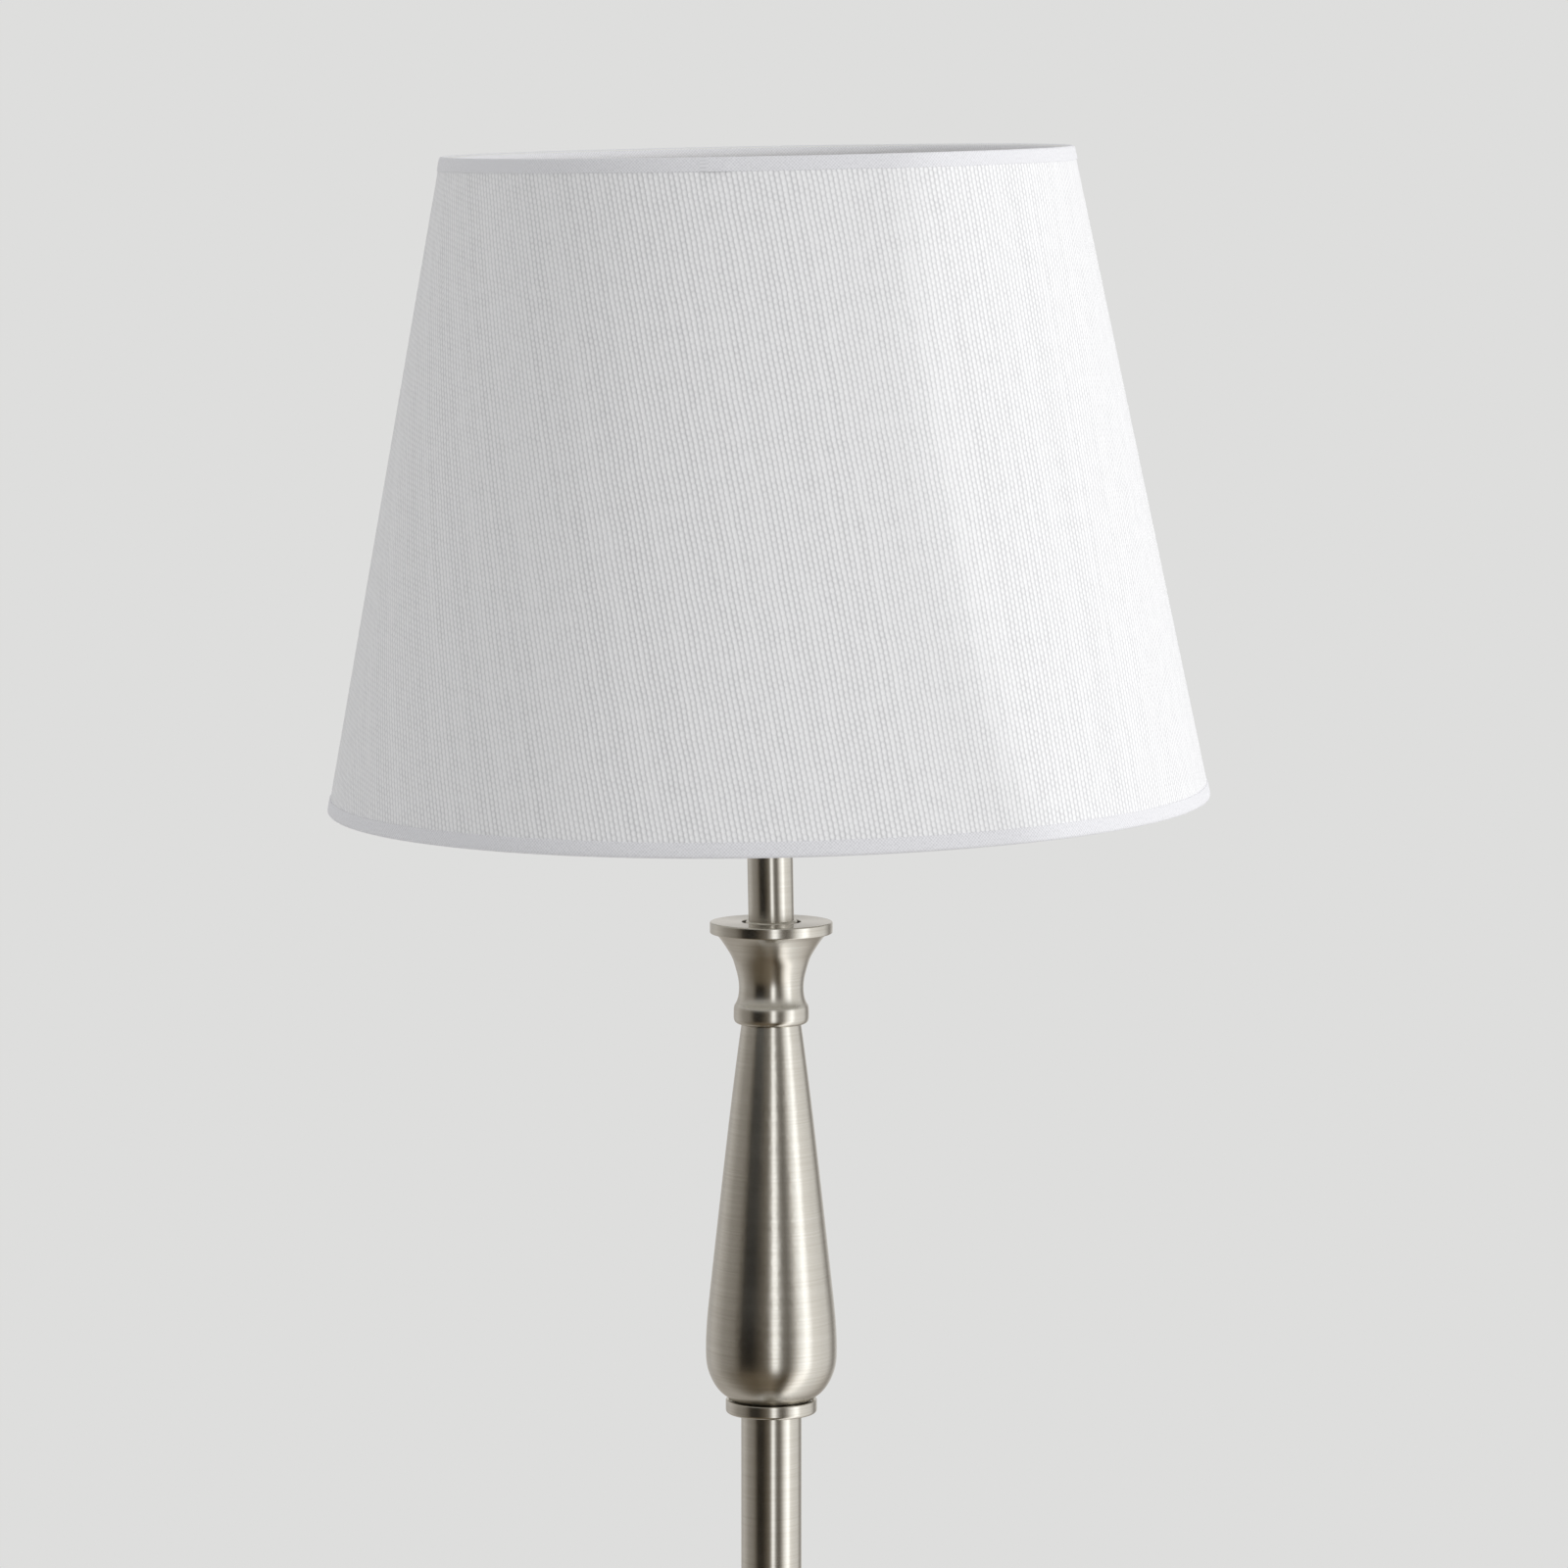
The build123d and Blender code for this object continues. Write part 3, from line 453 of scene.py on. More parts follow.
def makeCoating(look):
    material, tree = newMaterial(look["name"])
    place = addNode(tree, "ShaderNodeTexCoord")
    grain = addNode(tree, "ShaderNodeTexNoise", inputs={
        "Vector": place.outputs["Object"], "Scale": 1 / (look["grain"] * mm),
        "Detail": 4.0, "Roughness": 0.6})
    drift = addNode(tree, "ShaderNodeTexNoise", inputs={
        "Vector": place.outputs["Object"], "Scale": drifting["clouds"], "Detail": 2.0})
    mixed = addNode(tree, "ShaderNodeMath", {"operation": "MULTIPLY_ADD"}, {
        0: drift.outputs["Fac"], 1: drifting["weight"], 2: grain.outputs["Fac"]})
    share = addNode(tree, "ShaderNodeMapRange", inputs={
        "Value": mixed.outputs[0],
        "From Min": drifting["toneRange"][0], "From Max": drifting["toneRange"][1]})
    tone = addNode(tree, "ShaderNodeMix", {"data_type": "RGBA"}, {
        "Factor": share.outputs["Result"], 6: toLinear(look["low"]), 7: toLinear(look["high"])})
    smooth, rough = look["roughness"]
    gloss = addNode(tree, "ShaderNodeMapRange", inputs={
        "Value": drift.outputs["Fac"], "From Min": noiseLow, "From Max": noiseHigh,
        "To Min": smooth, "To Max": rough})
    relief = addNode(tree, "ShaderNodeBump", inputs={
        "Height": grain.outputs["Fac"], "Strength": 1.0, "Distance": look["relief"] * mm})
    shader = addNode(tree, "ShaderNodeBsdfPrincipled", inputs={
        "Base Color": tone.outputs[2], "Roughness": gloss.outputs["Result"], "IOR": look["ior"],
        "Coat Weight": look["coat"], "Coat Roughness": drifting["coatRoughness"],
        "Sheen Weight": look["sheen"], "Normal": relief.outputs["Normal"]})
    finishMaterial(tree, shader)
    return material


# a finish for each material slot, on every node that is shown as it comes
finishes = {"brushed_nickel": makeBrushedNickel()}
for slot, look in otherMetals.items():
    finishes[slot] = makePlainMetal(look)
for slot, look in coatings.items():
    finishes[slot] = makeCoating(look)

for name, obj in nodes.items():
    if slotOf[name] in finishes:
        obj.data.materials.clear()
        obj.data.materials.append(finishes[slotOf[name]])
print("finishes on", len(nodes), "nodes")


# the shade's own axis leans with the neck; heights on it count from under the fitter ring
shadeTurn = jointOf["shade_turn"]
axisUp = Vector(shadeTurn["axis"]).normalized()
axisSide = Vector(jointOf["switch_turn"]["axis"]).normalized()
axisBack = axisUp.cross(axisSide).normalized()
axisSide = axisBack.cross(axisUp).normalized()
shadePlace = Matrix((axisSide, axisBack, axisUp)).transposed().to_4x4()
shadePlace.translation = Vector(shadeTurn["pos_m"])

shade = {
    "bottomWidth": 366.2,    # over the tape, all mm
    "topWidth": 260.3,
    "height": 268.7,
    "drop": 50.4,            # bottom edge below the fitter ring
    "fabric": (0.45, 1.4),   # depths behind the tape's face
    "liner": (1.5, 2.0),
    "edgeGap": 0.6,          # tape over the fabric's edge
    "seamTurn": 52.0,        # degrees: middle of the cut, so the seam is opposite
    "seamOverlap": 12.0,
    "seamRise": 5.0,         # the upper end starts to climb this far before the lower one
    "seamGlue": 0.05,
    "fabricRows": 24,
    "linerRows": 12,
    "steps": 400,
}
shade["slope"] = (shade["bottomWidth"] - shade["topWidth"]) / 2 / shade["height"]
shade["slant"] = atan2(shade["slope"], 1)
shade["low"] = -shade["drop"]
shade["high"] = shade["low"] + shade["height"]
sharpFrom = radians(40)      # edges sharper than this stay crisp


def wallRadius(height, depth=0.0):
    return shade["bottomWidth"] / 2 - shade["slope"] * (height - shade["low"]) - depth


def flatCut(angle, radius):
    # where a point of the cone lies on the flat cloth, in mm, its ribs along the second number
    reach = radius / sin(shade["slant"])
    turn = (angle - radians(shade["seamTurn"])) * sin(shade["slant"])
    return reach * sin(turn), reach * cos(turn)


def sweptBand(name, angles, sectionAt, uvAt, closed, place):
    # a closed section of (radius, height) in mm carried round the axis; angle 0 is the front
    rings = [sectionAt(a) for a in angles]
    size = len(rings[0])
    verts = [(r * sin(a) * mm, -r * cos(a) * mm, h * mm) for a, ring in zip(angles, rings) for r, h in ring]
    spots = [uvAt(a, r, h, i) for a, ring in zip(angles, rings) for i, (r, h) in enumerate(ring)]
    faces = []
    corners = []
    steps = len(angles) if closed else len(angles) - 1
    for i in range(steps):
        j = (i + 1) % len(angles)
        farSpots = spots[j * size:(j + 1) * size]
        if closed and j == 0:
            onward = angles[i] + angles[1] - angles[0]
            farSpots = [uvAt(onward, r, h, k) for k, (r, h) in enumerate(rings[0])]
        for k in range(size):
            n = (k + 1) % size
            faces.append((i * size + k, i * size + n, j * size + n, j * size + k))
            corners.append((spots[i * size + k], spots[i * size + n], farSpots[n], farSpots[k]))
    if not closed:
        end = (len(angles) - 1) * size
        faces.append(tuple(reversed(range(size))))
        corners.append(tuple(reversed(spots[:size])))
        faces.append(tuple(range(end, end + size)))
        corners.append(tuple(spots[end:]))
    mesh = bpy.data.meshes.new(name)
    mesh.from_pydata(verts, [], faces)
    layer = mesh.uv_layers.new(name="cloth")
    layer.data.foreach_set("uv", [number for face in corners for spot in face for number in spot])
    mesh.transform(place)
    mesh.update()
    for face in mesh.polygons:
        face.use_smooth = True
    mesh.set_sharp_from_angle(angle=sharpFrom)
    obj = bpy.data.objects.new(name, mesh)
    bpy.context.scene.collection.objects.link(obj)
    return obj


def wholeTurn(steps):
    return [tau * i / steps for i in range(steps)]


def dressNode(piece, material, body, node):
    # the piece takes the node's place, on the same body, in the material given
    piece.data.materials.append(material)
    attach(piece, body)
    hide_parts(node)


def makeWall(name, layer, rows, overlap):
    outer, inner = shade[layer]
    low = shade["low"] + shade["edgeGap"]
    high = shade["high"] - shade["edgeGap"]
    heights = [low + (high - low) * i / rows for i in range(rows + 1)]
    start = radians(shade["seamTurn"]) - pi
    rim = shade["bottomWidth"] / 2
    last = tau + overlap / rim
    rise = shade["seamRise"] / rim
    turned = [last * i / shade["steps"] for i in range(shade["steps"] + 1)]

    def sectionAt(angle):
        onLap = smoothStep(tau - rise, tau - rise / 4, angle - start)
        lift = (inner - outer + shade["seamGlue"]) * onLap
        outside = [(wallRadius(h, outer) + lift, h) for h in heights]
        inside = [(wallRadius(h, inner) + lift, h) for h in reversed(heights)]
        return outside + inside

    def uvAt(angle, radius, height, i):
        across, down = flatCut(angle, radius)
        return across * mm, down * mm

    return sweptBand(name, [start + t for t in turned], sectionAt, uvAt, False, shadePlace)


# Binding tape folded over each rim and rolled round its wire, all mm.
tape = {
    "thick": 0.5,
    "width": 6.0,
    "selvedge": [(0.0, 0.5), (0.1, 0.16), (0.35, 0.0)],   # in from the edge, and how many thicknesses deep
    "corner": 1.3,
    "cornerSteps": 6,
    "cornerLead": 1.6,       # the flat ends this many corners from the rim
    "wire": 3.0,
    "wireGap": 0.1,
    "rollTurns": range(0, 160, 20),                       # degrees round the wire
    "offWire": (2.2, 0.5),   # past the wire's middle and off the liner, where the inner leg begins
    "innerEdge": [(0.8, 0.08), (0.0, 0.05)],              # in from the edge, and glue on the liner
    "flatWidth": 17.0,       # both legs and the rim between them
    "lapTurn": {"top": -8.4, "bottom": 228.0},            # degrees where its ends lap over
    "lap": 8.0,
    "lapShares": (0.0, 0.001, 0.5, 0.999, 1.0),           # so that each end of the lap is a clean step
    "lapLift": 0.45,
    "wander": (0.12, 9),     # of the edge, and how often round the rim
    "sway": (0.05, 14),      # of the face
    "seed": {"top": 3.0, "bottom": 7.0},
    "steps": 360,
}


def tapeSection(edge, inward, wander, lift):
    # first along the wall from the rim and deep behind the tape's face, then as (radius, height)
    linerBack = shade["liner"][1] * cos(shade["slant"])
    thick = tape["thick"]
    wide = tape["width"] + wander
    corner = tape["corner"]
    wireRadius = tape["wire"] / 2 + tape["wireGap"]
    wireAlong = thick + wireRadius
    wireDeep = linerBack + wireRadius
    roll = wireRadius + thick
    outside = [(wide - back, thick * share - lift) for back, share in tape["selvedge"]]
    outside.append((corner * tape["cornerLead"], -lift))
    for i in range(tape["cornerSteps"]):
        turn = pi / 2 * (i + 1) / tape["cornerSteps"]
        outside.append((corner - corner * sin(turn), corner - (corner + lift) * cos(turn)))
    for degrees in tape["rollTurns"]:
        turn = radians(degrees)
        outside.append((wireAlong - roll * cos(turn), wireDeep + roll * sin(turn)))
    outside.append((wireAlong + tape["offWire"][0], linerBack + thick + tape["offWire"][1]))
    outside += [(wide - back, linerBack + thick + glue) for back, glue in tape["innerEdge"]]
    inside = []
    for i, (along, depth) in enumerate(outside):
        before = outside[max(i - 1, 0)]
        after = outside[min(i + 1, len(outside) - 1)]
        stepAlong = after[0] - before[0]
        stepDeep = after[1] - before[1]
        size = hypot(stepAlong, stepDeep)
        inside.append((along + thick * stepDeep / size, depth - thick * stepAlong / size))
    inside[0] = (wide, thick - lift)
    inside[-1] = (wide, linerBack + tape["innerEdge"][-1][1])
    section = []
    for along, depth in outside + list(reversed(inside)):
        height = edge + inward * along * cos(shade["slant"]) - depth * sin(shade["slant"])
        radius = wallRadius(edge) - inward * along * sin(shade["slant"]) - depth * cos(shade["slant"])
        section.append((radius, height))
    if inward < 0:
        section.reverse()
    return section


def makeTape(name, side):
    edge, inward = (shade["low"], 1) if side == "bottom" else (shade["high"], -1)
    start = radians(tape["lapTurn"][side])
    seed = tape["seed"][side]
    rim = wallRadius(edge)
    lapAngle = tape["lap"] / rim
    flatSection = tapeSection(edge, inward, 0.0, 0.0)
    along = [0.0]
    for before, after in zip(flatSection, flatSection[1:]):
        along.append(along[-1] + hypot(after[0] - before[0], after[1] - before[1]))

    def sectionAt(angle):
        lift = tape["lapLift"] if (angle - start) % tau < lapAngle else 0.0
        wander = tape["wander"][0] * ripple(seed, tape["wander"][1] * angle)
        sway = tape["sway"][0] * ripple(seed + 2, tape["sway"][1] * angle)
        return tapeSection(edge, inward, wander, lift + sway)

    def uvAt(angle, radius, height, i):
        return angle * rim * mm, along[i] * mm

    onLap = [start + lapAngle * share for share in tape["lapShares"]]
    steps = tape["steps"]
    onward = [start + lapAngle + (tau - lapAngle) * i / steps for i in range(1, steps)]
    return sweptBand(name, onLap + onward, sectionAt, uvAt, True, shadePlace)


# Coarse cotton canvas in a rib weave, glued to a plastic liner: matt white, rows of small pillows. The grey
# between them is painted shade in the weave's hollows, mixed with the real unevenness of the yarn.
canvas = {
    "thread": "#f4f4f5",
    # painted shade: the grey given to the weave's hollows
    "hollowShade": "#cdcdcf",
    "toneRange": (0.2, 1.15),
    "relief": 0.20,          # mm
    "ribPitch": 2.05,        # mm, thick warp ribs
    "bumpPitch": 2.5,        # mm, one float of a rib, over and under
    "ribRound": (0.87, 0.13),    # share of the height that goes up and down, and share that stays
    "bumpRound": (0.23, 0.77),
    "wobble": 55.0,          # to the metre, and how far it moves the threads across and along, mm
    "wobbleBy": (1.1, 1.4),
    "fibres": 2200.0,        # to the metre, and how much of the relief they add
    "fibreWeight": 0.25,
    "slubs": 160.0,
    "slubWeight": 0.35,
    "yarnWeight": 0.12,      # every rib is its own yarn, a little thicker or thinner
}


def makeCanvas():
    material, tree = newMaterial("rib weave cotton canvas")
    cloth = addNode(tree, "ShaderNodeUVMap", {"uv_map": "cloth"})
    wobble = addNode(tree, "ShaderNodeTexNoise", inputs={
        "Vector": cloth.outputs["UV"], "Scale": canvas["wobble"], "Detail": 2.0})
    wobbled = addNode(tree, "ShaderNodeVectorMath", {"operation": "MULTIPLY_ADD"}, {
        0: wobble.outputs["Color"], 1: (canvas["wobbleBy"][0] * mm, canvas["wobbleBy"][1] * mm, 0.0),
        2: cloth.outputs["UV"]})
    axes = addNode(tree, "ShaderNodeSeparateXYZ", inputs={0: wobbled.outputs["Vector"]})
    # ribs stand side by side
    rib = addNode(tree, "ShaderNodeMath", {"operation": "DIVIDE"}, {
        0: axes.outputs["X"], 1: canvas["ribPitch"] * mm})
    ribNumber = addNode(tree, "ShaderNodeMath", {"operation": "FLOOR"}, {0: rib.outputs[0]})
    ribShare = addNode(tree, "ShaderNodeMath", {"operation": "FRACT"}, {0: rib.outputs[0]})
    ribAngle = addNode(tree, "ShaderNodeMath", {"operation": "MULTIPLY"}, {0: ribShare.outputs[0], 1: pi})
    crown = addNode(tree, "ShaderNodeMath", {"operation": "SINE"}, {0: ribAngle.outputs[0]})
    # and swell along their length, half a step on from one to the next
    halfStep = addNode(tree, "ShaderNodeMath", {"operation": "MULTIPLY"}, {0: ribNumber.outputs[0], 1: 0.5})
    along = addNode(tree, "ShaderNodeMath", {"operation": "MULTIPLY_ADD"}, {
        0: axes.outputs["Y"], 1: 1 / (canvas["bumpPitch"] * mm), 2: halfStep.outputs[0]})
    alongAngle = addNode(tree, "ShaderNodeMath", {"operation": "MULTIPLY"}, {0: along.outputs[0], 1: tau})
    swell = addNode(tree, "ShaderNodeMath", {"operation": "COSINE"}, {0: alongAngle.outputs[0]})
    ribHeight, bumpHeight = [
        addNode(tree, "ShaderNodeMath", {"operation": "MULTIPLY_ADD"}, {
            0: wave.outputs[0], 1: moving, 2: staying})
        for wave, (moving, staying) in ((crown, canvas["ribRound"]), (swell, canvas["bumpRound"]))]
    height = addNode(tree, "ShaderNodeMath", {"operation": "MULTIPLY"}, {
        0: ribHeight.outputs[0], 1: bumpHeight.outputs[0]})
    fibres = addNode(tree, "ShaderNodeTexNoise", inputs={
        "Vector": cloth.outputs["UV"], "Scale": canvas["fibres"], "Detail": 2.0, "Roughness": 0.6})
    slubs = addNode(tree, "ShaderNodeTexNoise", inputs={
        "Vector": cloth.outputs["UV"], "Scale": canvas["slubs"], "Detail": 3.0, "Roughness": 0.6})
    yarn = addNode(tree, "ShaderNodeTexWhiteNoise", {"noise_dimensions": "1D"}, {"W": ribNumber.outputs[0]})
    for unevenness, weight in ((fibres.outputs["Fac"], canvas["fibreWeight"]),
                               (slubs.outputs["Fac"], canvas["slubWeight"]),
                               (yarn.outputs["Value"], canvas["yarnWeight"])):
        height = addNode(tree, "ShaderNodeMath", {"operation": "MULTIPLY_ADD"}, {
            0: unevenness, 1: weight, 2: height.outputs[0]})
    # the low parts of the weave take the painted shade colour; fibres, slubs and uneven yarn move the tone as well
    depth = addNode(tree, "ShaderNodeMapRange", {"interpolation_type": "SMOOTHSTEP"}, {
        "Value": height.outputs[0],
        "From Min": canvas["toneRange"][0], "From Max": canvas["toneRange"][1]})
    tone = addNode(tree, "ShaderNodeMix", {"data_type": "RGBA"}, {
        "Factor": depth.outputs["Result"], 6: toLinear(canvas["hollowShade"]), 7: toLinear(canvas["thread"])})
    relief = addNode(tree, "ShaderNodeBump", inputs={
        "Height": height.outputs[0], "Strength": 1.0, "Distance": canvas["relief"] * mm})
    shader = addNode(tree, "ShaderNodeBsdfPrincipled", inputs={
        "Base Color": tone.outputs[2], "Roughness": 0.92, "Diffuse Roughness": 0.6,
        "Specular IOR Level": 0.25, "Sheen Weight": 0.15, "Sheen Roughness": 0.5,
        "Normal": relief.outputs["Normal"]})
    finishMaterial(tree, shader)
    return material


# Bleached cotton binding tape, close plain weave: smoother and a touch cooler than the canvas. Where the weave
# sits low it gets a painted shade tone, mixed with the fibres' own unevenness.
binding = {
    "thread": "#ededf0",
    # painted shade: the darker tone given where the weave sits low
    "gapShade": "#d6d6d9",
    "toneRange": (0.3, 0.9),
    "threadPitch": 0.7,      # mm, drawn twice too coarse to show
    "weaveWeight": 0.35,
    "fibres": 900.0,         # to the metre
    "relief": 0.06,          # mm
}


def makeBinding():
    material, tree = newMaterial("cotton binding tape")
    cloth = addNode(tree, "ShaderNodeUVMap", {"uv_map": "cloth"})
    weave = addNode(tree, "ShaderNodeTexChecker", inputs={
        "Vector": cloth.outputs["UV"], "Scale": 1 / (binding["threadPitch"] * mm)})
    fibres = addNode(tree, "ShaderNodeTexNoise", inputs={
        "Vector": cloth.outputs["UV"], "Scale": binding["fibres"], "Detail": 3.0, "Roughness": 0.65})
    height = addNode(tree, "ShaderNodeMath", {"operation": "MULTIPLY_ADD"}, {
        0: weave.outputs["Fac"], 1: binding["weaveWeight"], 2: fibres.outputs["Fac"]})
    share = addNode(tree, "ShaderNodeMapRange", inputs={
        "Value": height.outputs[0],
        "From Min": binding["toneRange"][0], "From Max": binding["toneRange"][1]})
    # low parts of the weave take the painted shade tone; the fibre noise moves the tone as well
    tone = addNode(tree, "ShaderNodeMix", {"data_type": "RGBA"}, {
        "Factor": share.outputs["Result"], 6: toLinear(binding["gapShade"]), 7: toLinear(binding["thread"])})
    relief = addNode(tree, "ShaderNodeBump", inputs={
        "Height": height.outputs[0], "Strength": 0.6, "Distance": binding["relief"] * mm})
    shader = addNode(tree, "ShaderNodeBsdfPrincipled", inputs={
        "Base Color": tone.outputs[2], "Roughness": 0.85, "Diffuse Roughness": 0.5,
        "Specular IOR Level": 0.3, "Sheen Weight": 0.1, "Normal": relief.outputs["Normal"]})
    finishMaterial(tree, shader)
    return material


# Calendered white PVC film: smooth, faintly glossy, with a slight orange peel.
liner = {
    "colour": "#f6f5f2",
    "dimmest": 0.98,
    "peel": 260.0,           # to the metre
    "relief": 0.08,          # mm
}


def makeLiner():
    material, tree = newMaterial("calendered white film")
    place = addNode(tree, "ShaderNodeTexCoord")
    peel = addNode(tree, "ShaderNodeTexNoise", inputs={
        "Vector": place.outputs["Object"], "Scale": liner["peel"], "Detail": 2.0})
    share = addNode(tree, "ShaderNodeMapRange", inputs={
        "Value": peel.outputs["Fac"], "From Min": noiseLow, "From Max": noiseHigh,
        "To Min": liner["dimmest"]})
    tone = addNode(tree, "ShaderNodeVectorMath", {"operation": "SCALE"}, {
        0: toLinear(liner["colour"])[:3], "Scale": share.outputs["Result"]})
    relief = addNode(tree, "ShaderNodeBump", inputs={
        "Height": peel.outputs["Fac"], "Strength": 0.3, "Distance": liner["relief"] * mm})
    shader = addNode(tree, "ShaderNodeBsdfPrincipled", inputs={
        "Base Color": tone.outputs["Vector"], "Roughness": 0.45, "IOR": 1.52,
        "Normal": relief.outputs["Normal"]})
    finishMaterial(tree, shader)
    return material


bindingTape = makeBinding()
shadeFabric = makeWall("shadeFabric", "fabric", shade["fabricRows"], shade["seamOverlap"])
dressNode(shadeFabric, makeCanvas(), "shade", "shade_fabric")
shadeLiner = makeWall("shadeLiner", "liner", shade["linerRows"], 0.0)
dressNode(shadeLiner, makeLiner(), "shade", "shade_liner")
bottomTape = makeTape("bottomTape", "bottom")
dressNode(bottomTape, bindingTape, "shade", "bottom_tape")
topTape = makeTape("topTape", "top")
dressNode(topTape, bindingTape, "shade", "top_tape")


print("shade made")


def measureOnAxis(obj, origin, direction):
    # lowest, highest and widest, in mm, of a mesh about an axis
    heights = []
    widest = 0.0
    for vertex in obj.data.vertices:
        offset = obj.matrix_world @ vertex.co - origin
        height = offset.dot(direction)
        heights.append(height)
        widest = max(widest, (offset - height * direction).length)
    return min(heights) / mm, max(heights) / mm, widest / mm


# the bulb's screw cap: a rolled thread that runs out into a plain collar, all mm above the cap's lower edge
cap = {
    "pitch": 3.63,           # as on any E27 cap
    "threadDepth": 1.05,
    "threadFrom": 2.2,
    "threadTo": 17.5,
    "leadIn": 0.5,           # the thread starts this much lower, at nothing
    "runOut": 2.0,
    "footRound": (2.0, 2.2),     # how far the lower edge draws in, over what height
    "rimRound": (0.35, 1.2),     # the same at the rim round the glass
    "sheet": 0.35,
    "mouth": 8.0,            # radius round the black glass
    "collarDrop": 0.3,       # the collar is this much slimmer than the thread's crests
    "collarStep": 1.0,
    "rows": 96,
    "steps": 120,
}


def makeBulbCap(name):
    origin = Vector(jointOf["bulb_turn"]["pos_m"])
    low, high, widest = measureOnAxis(nodes["bulb_cap"], origin, axisUp)
    place = shadePlace.copy()
    place.translation = origin + axisUp * low * mm
    tall = high - low
    heights = [tall * i / cap["rows"] for i in range(cap["rows"] + 1)]
    footIn, footTall = cap["footRound"]
    rimIn, rimTall = cap["rimRound"]

    def radiusAt(angle, height):
        started = smoothStep(cap["threadFrom"] - cap["leadIn"], cap["threadFrom"] + cap["runOut"], height)
        ended = smoothStep(cap["threadTo"] - cap["runOut"], cap["threadTo"], height)
        groove = (1 - cos(tau * height / cap["pitch"] - angle)) / 2
        thread = cap["threadDepth"] * groove * started * (1 - ended)
        foot = footIn * (1 - smoothStep(0.0, footTall, height)) ** 2
        step = cap["collarDrop"] * smoothStep(cap["threadTo"] - cap["collarStep"], cap["threadTo"], height)
        rim = rimIn * smoothStep(tall - rimTall, tall, height)
        return widest - thread - foot - step - rim

    def sectionAt(angle):
        outside = [(radiusAt(angle, h), h) for h in heights]
        inside = [(r - cap["sheet"], h) for r, h in reversed(outside)]
        inside[-1] = (inside[-1][0], cap["sheet"])
        return [(cap["mouth"], 0.0)] + outside + inside + [(cap["mouth"], cap["sheet"])]

    def uvAt(angle, radius, height, i):
        return angle * widest * mm, height * mm

    return sweptBand(name, wholeTurn(cap["steps"]), sectionAt, uvAt, True, place)


dressNode(makeBulbCap("bulbCap"), finishes["bulb_cap_alloy"], "bulb", "bulb_cap")
print("bulb cap made")


flatLead = 0.1               # mm; a point this close to a rounded corner keeps the flat beside it flat
roundSteps = 5
turnSteps = 144


def curveThrough(points, first, last, steps):
    # smooth line through (radius, height) points, with the directions it starts and ends in
    headings = [first] + [(c[0] - a[0], c[1] - a[1]) for a, c in zip(points, points[2:])] + [last]
    headings = [(dr / hypot(dr, dh), dh / hypot(dr, dh)) for dr, dh in headings]
    line = []
    for i in range(len(points) - 1):
        start, end = points[i], points[i + 1]
        span = hypot(end[0] - start[0], end[1] - start[1])
        for k in range(steps):
            t = k / steps
            weights = (2 * t ** 3 - 3 * t ** 2 + 1, 3 * t ** 2 - 2 * t ** 3,
                       span * (t ** 3 - 2 * t ** 2 + t), span * (t ** 3 - t ** 2))
            parts = (start, end, headings[i], headings[i + 1])
            line.append(tuple(sum(w * part[n] for w, part in zip(weights, parts)) for n in (0, 1)))
    return line


def roundedCorner(corner, radius, turnFrom, inward):
    # quarter circle in place of a corner
    across = corner[0] - inward[0] * radius
    up = corner[1] - inward[1] * radius
    turns = [turnFrom + pi / 2 * k / roundSteps for k in range(roundSteps + 1)]
    return [(across + radius * cos(turn), up + radius * sin(turn)) for turn in turns]


def makeTurned(name, node, makeSection):
    # a section of (radius, height above the piece's foot) turned round the column
    low, high, widest = measureOnAxis(nodes[node], Vector((0, 0, 0)), Vector((0, 0, 1)))
    section = makeSection(high - low, widest)

    def uvAt(angle, radius, height, i):
        return angle * widest * mm, height * mm

    piece = sweptBand(name, wholeTurn(turnSteps), lambda angle: section, uvAt, True,
                      Matrix.Translation((0, 0, low * mm)))
    dressNode(piece, finishes["brushed_nickel"], "stand", node)


# the flared cup under the neck, turned with crisp edges: (radius, height above its foot), mm
cup = {
    "bead": [(13.3, 0.0), (15.35, 1.2), (15.7, 4.9), (15.35, 7.9)],
    "waist": (13.48, 15.4),
    "flare": [(15.66, 25.96), (18.19, 31.06), (23.4, 38.1)],
    # the way each curve starts and ends, and in how many steps each part of it is drawn
    "beadRun": ((1, 0.3), (-0.35, 1), 5),
    "waistRun": ((-0.75, 1), (0, 1), 10),
    "flareRun": ((0, 1), (1, 1), 8),
    "edgeRound": 0.55,
    "mouth": 12.3,           # radius of the hole that the neck stands in
    "mouthRound": 0.3,
    "sheet": 1.2,
    "trayIn": 1.0,           # the hollow under the top plate reaches this far short of the flare's end
    "floor": 2.0,
    "floorClear": 0.4,
    "pipeHole": 5.2,
}


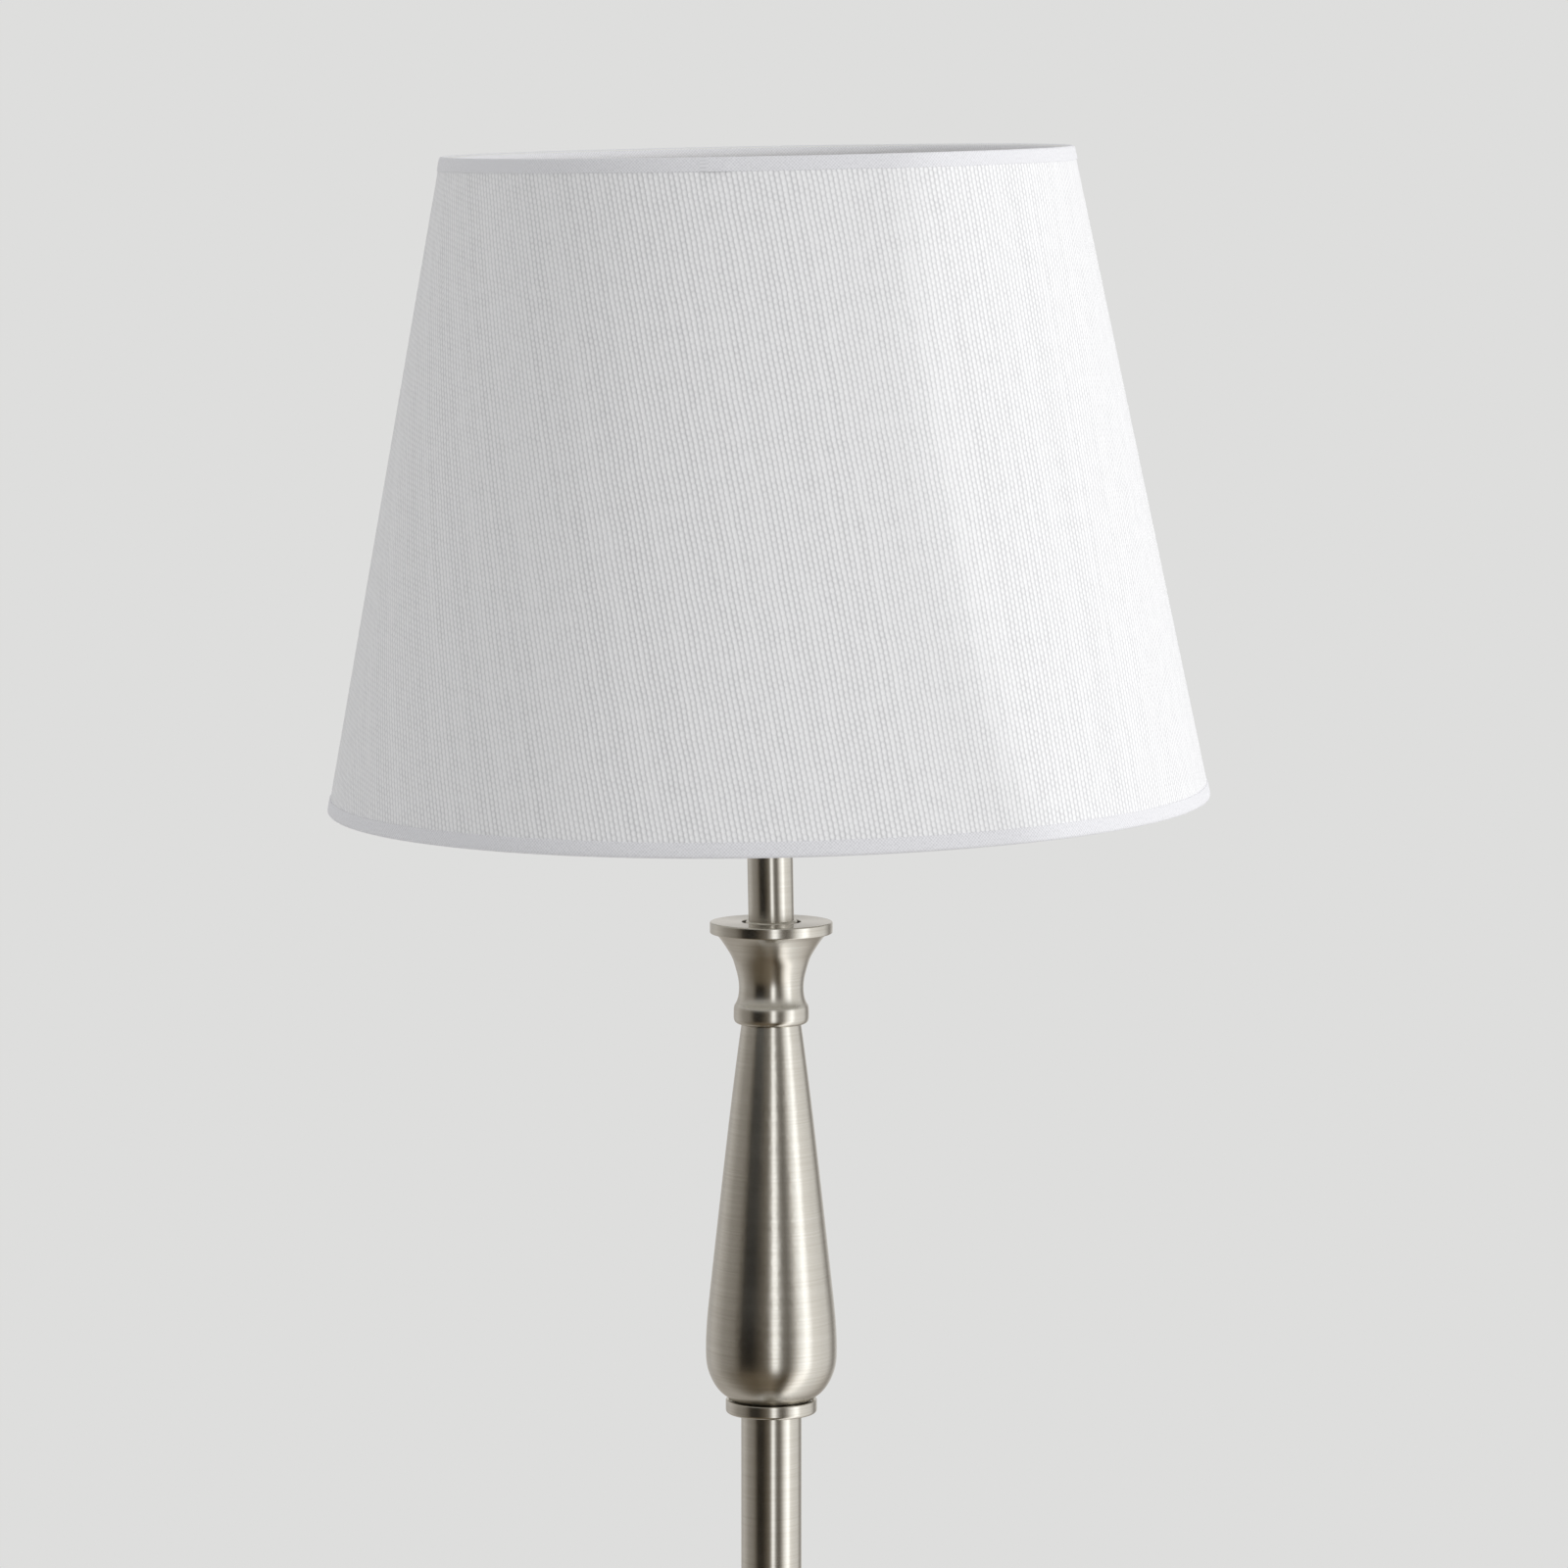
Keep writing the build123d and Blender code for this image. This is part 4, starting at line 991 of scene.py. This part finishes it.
def cupSection(top, rim):
    edgeRound, mouthRound, mouth, sheet = [cup[key] for key in ("edgeRound", "mouthRound", "mouth", "sheet")]
    flareEnd = cup["flare"][-1]
    edge = flareEnd[1]
    outside = curveThrough(cup["bead"], *cup["beadRun"])
    outside += curveThrough([cup["bead"][-1], cup["waist"]], *cup["waistRun"])
    outside += curveThrough([cup["waist"]] + cup["flare"], *cup["flareRun"])
    inside = [(radius - sheet, height) for radius, height in outside
              if cup["floor"] + cup["floorClear"] < height < top - 2 * sheet]
    flange = [flareEnd, (rim - edgeRound - flatLead, edge)]
    flange += roundedCorner((rim, edge), edgeRound, -pi / 2, (1, -1))
    flange += [(rim, edge + edgeRound + flatLead), (rim, top - edgeRound - flatLead)]
    flange += roundedCorner((rim, top), edgeRound, 0.0, (1, 1))
    flange += [(rim - edgeRound - flatLead, top), (mouth + mouthRound + flatLead, top)]
    flange += roundedCorner((mouth, top), mouthRound, pi / 2, (-1, 1))
    flange += [(mouth, top - sheet), (flareEnd[0] - cup["trayIn"], top - sheet)]
    floor = [(inside[0][0], cup["floor"]), (cup["pipeHole"], cup["floor"]), (cup["pipeHole"], 0.0)]
    return outside + flange + list(reversed(inside)) + floor


# the flat ring under the drop-shaped body: crisp above, rounder below, with a lip round the body's foot, mm
collar = {
    "topRound": 0.45,
    "lowRound": 1.2,
    "lip": 1.3,
    "groove": 1.0,
    "seat": 16.0,            # radius that the body stands on
    "pipeHole": 5.2,
}


def collarSection(tall, rim):
    lowRound, topRound, seat = [collar[key] for key in ("lowRound", "topRound", "seat")]
    lip = rim - collar["lip"]
    section = [(collar["pipeHole"], 0.0), (rim - lowRound - flatLead, 0.0)]
    section += roundedCorner((rim, 0.0), lowRound, -pi / 2, (1, -1))
    section += [(rim, lowRound + flatLead), (rim, tall - topRound - flatLead)]
    section += roundedCorner((rim, tall), topRound, 0.0, (1, 1))
    section += [(lip, tall), (lip, tall - collar["groove"]), (seat, tall - collar["groove"])]
    return section + [(seat, tall), (collar["pipeHole"], tall)]


makeTurned("candleCup", "candle_cup", cupSection)
makeTurned("collarRing", "collar_ring", collarSection)
print("cup and collar made")
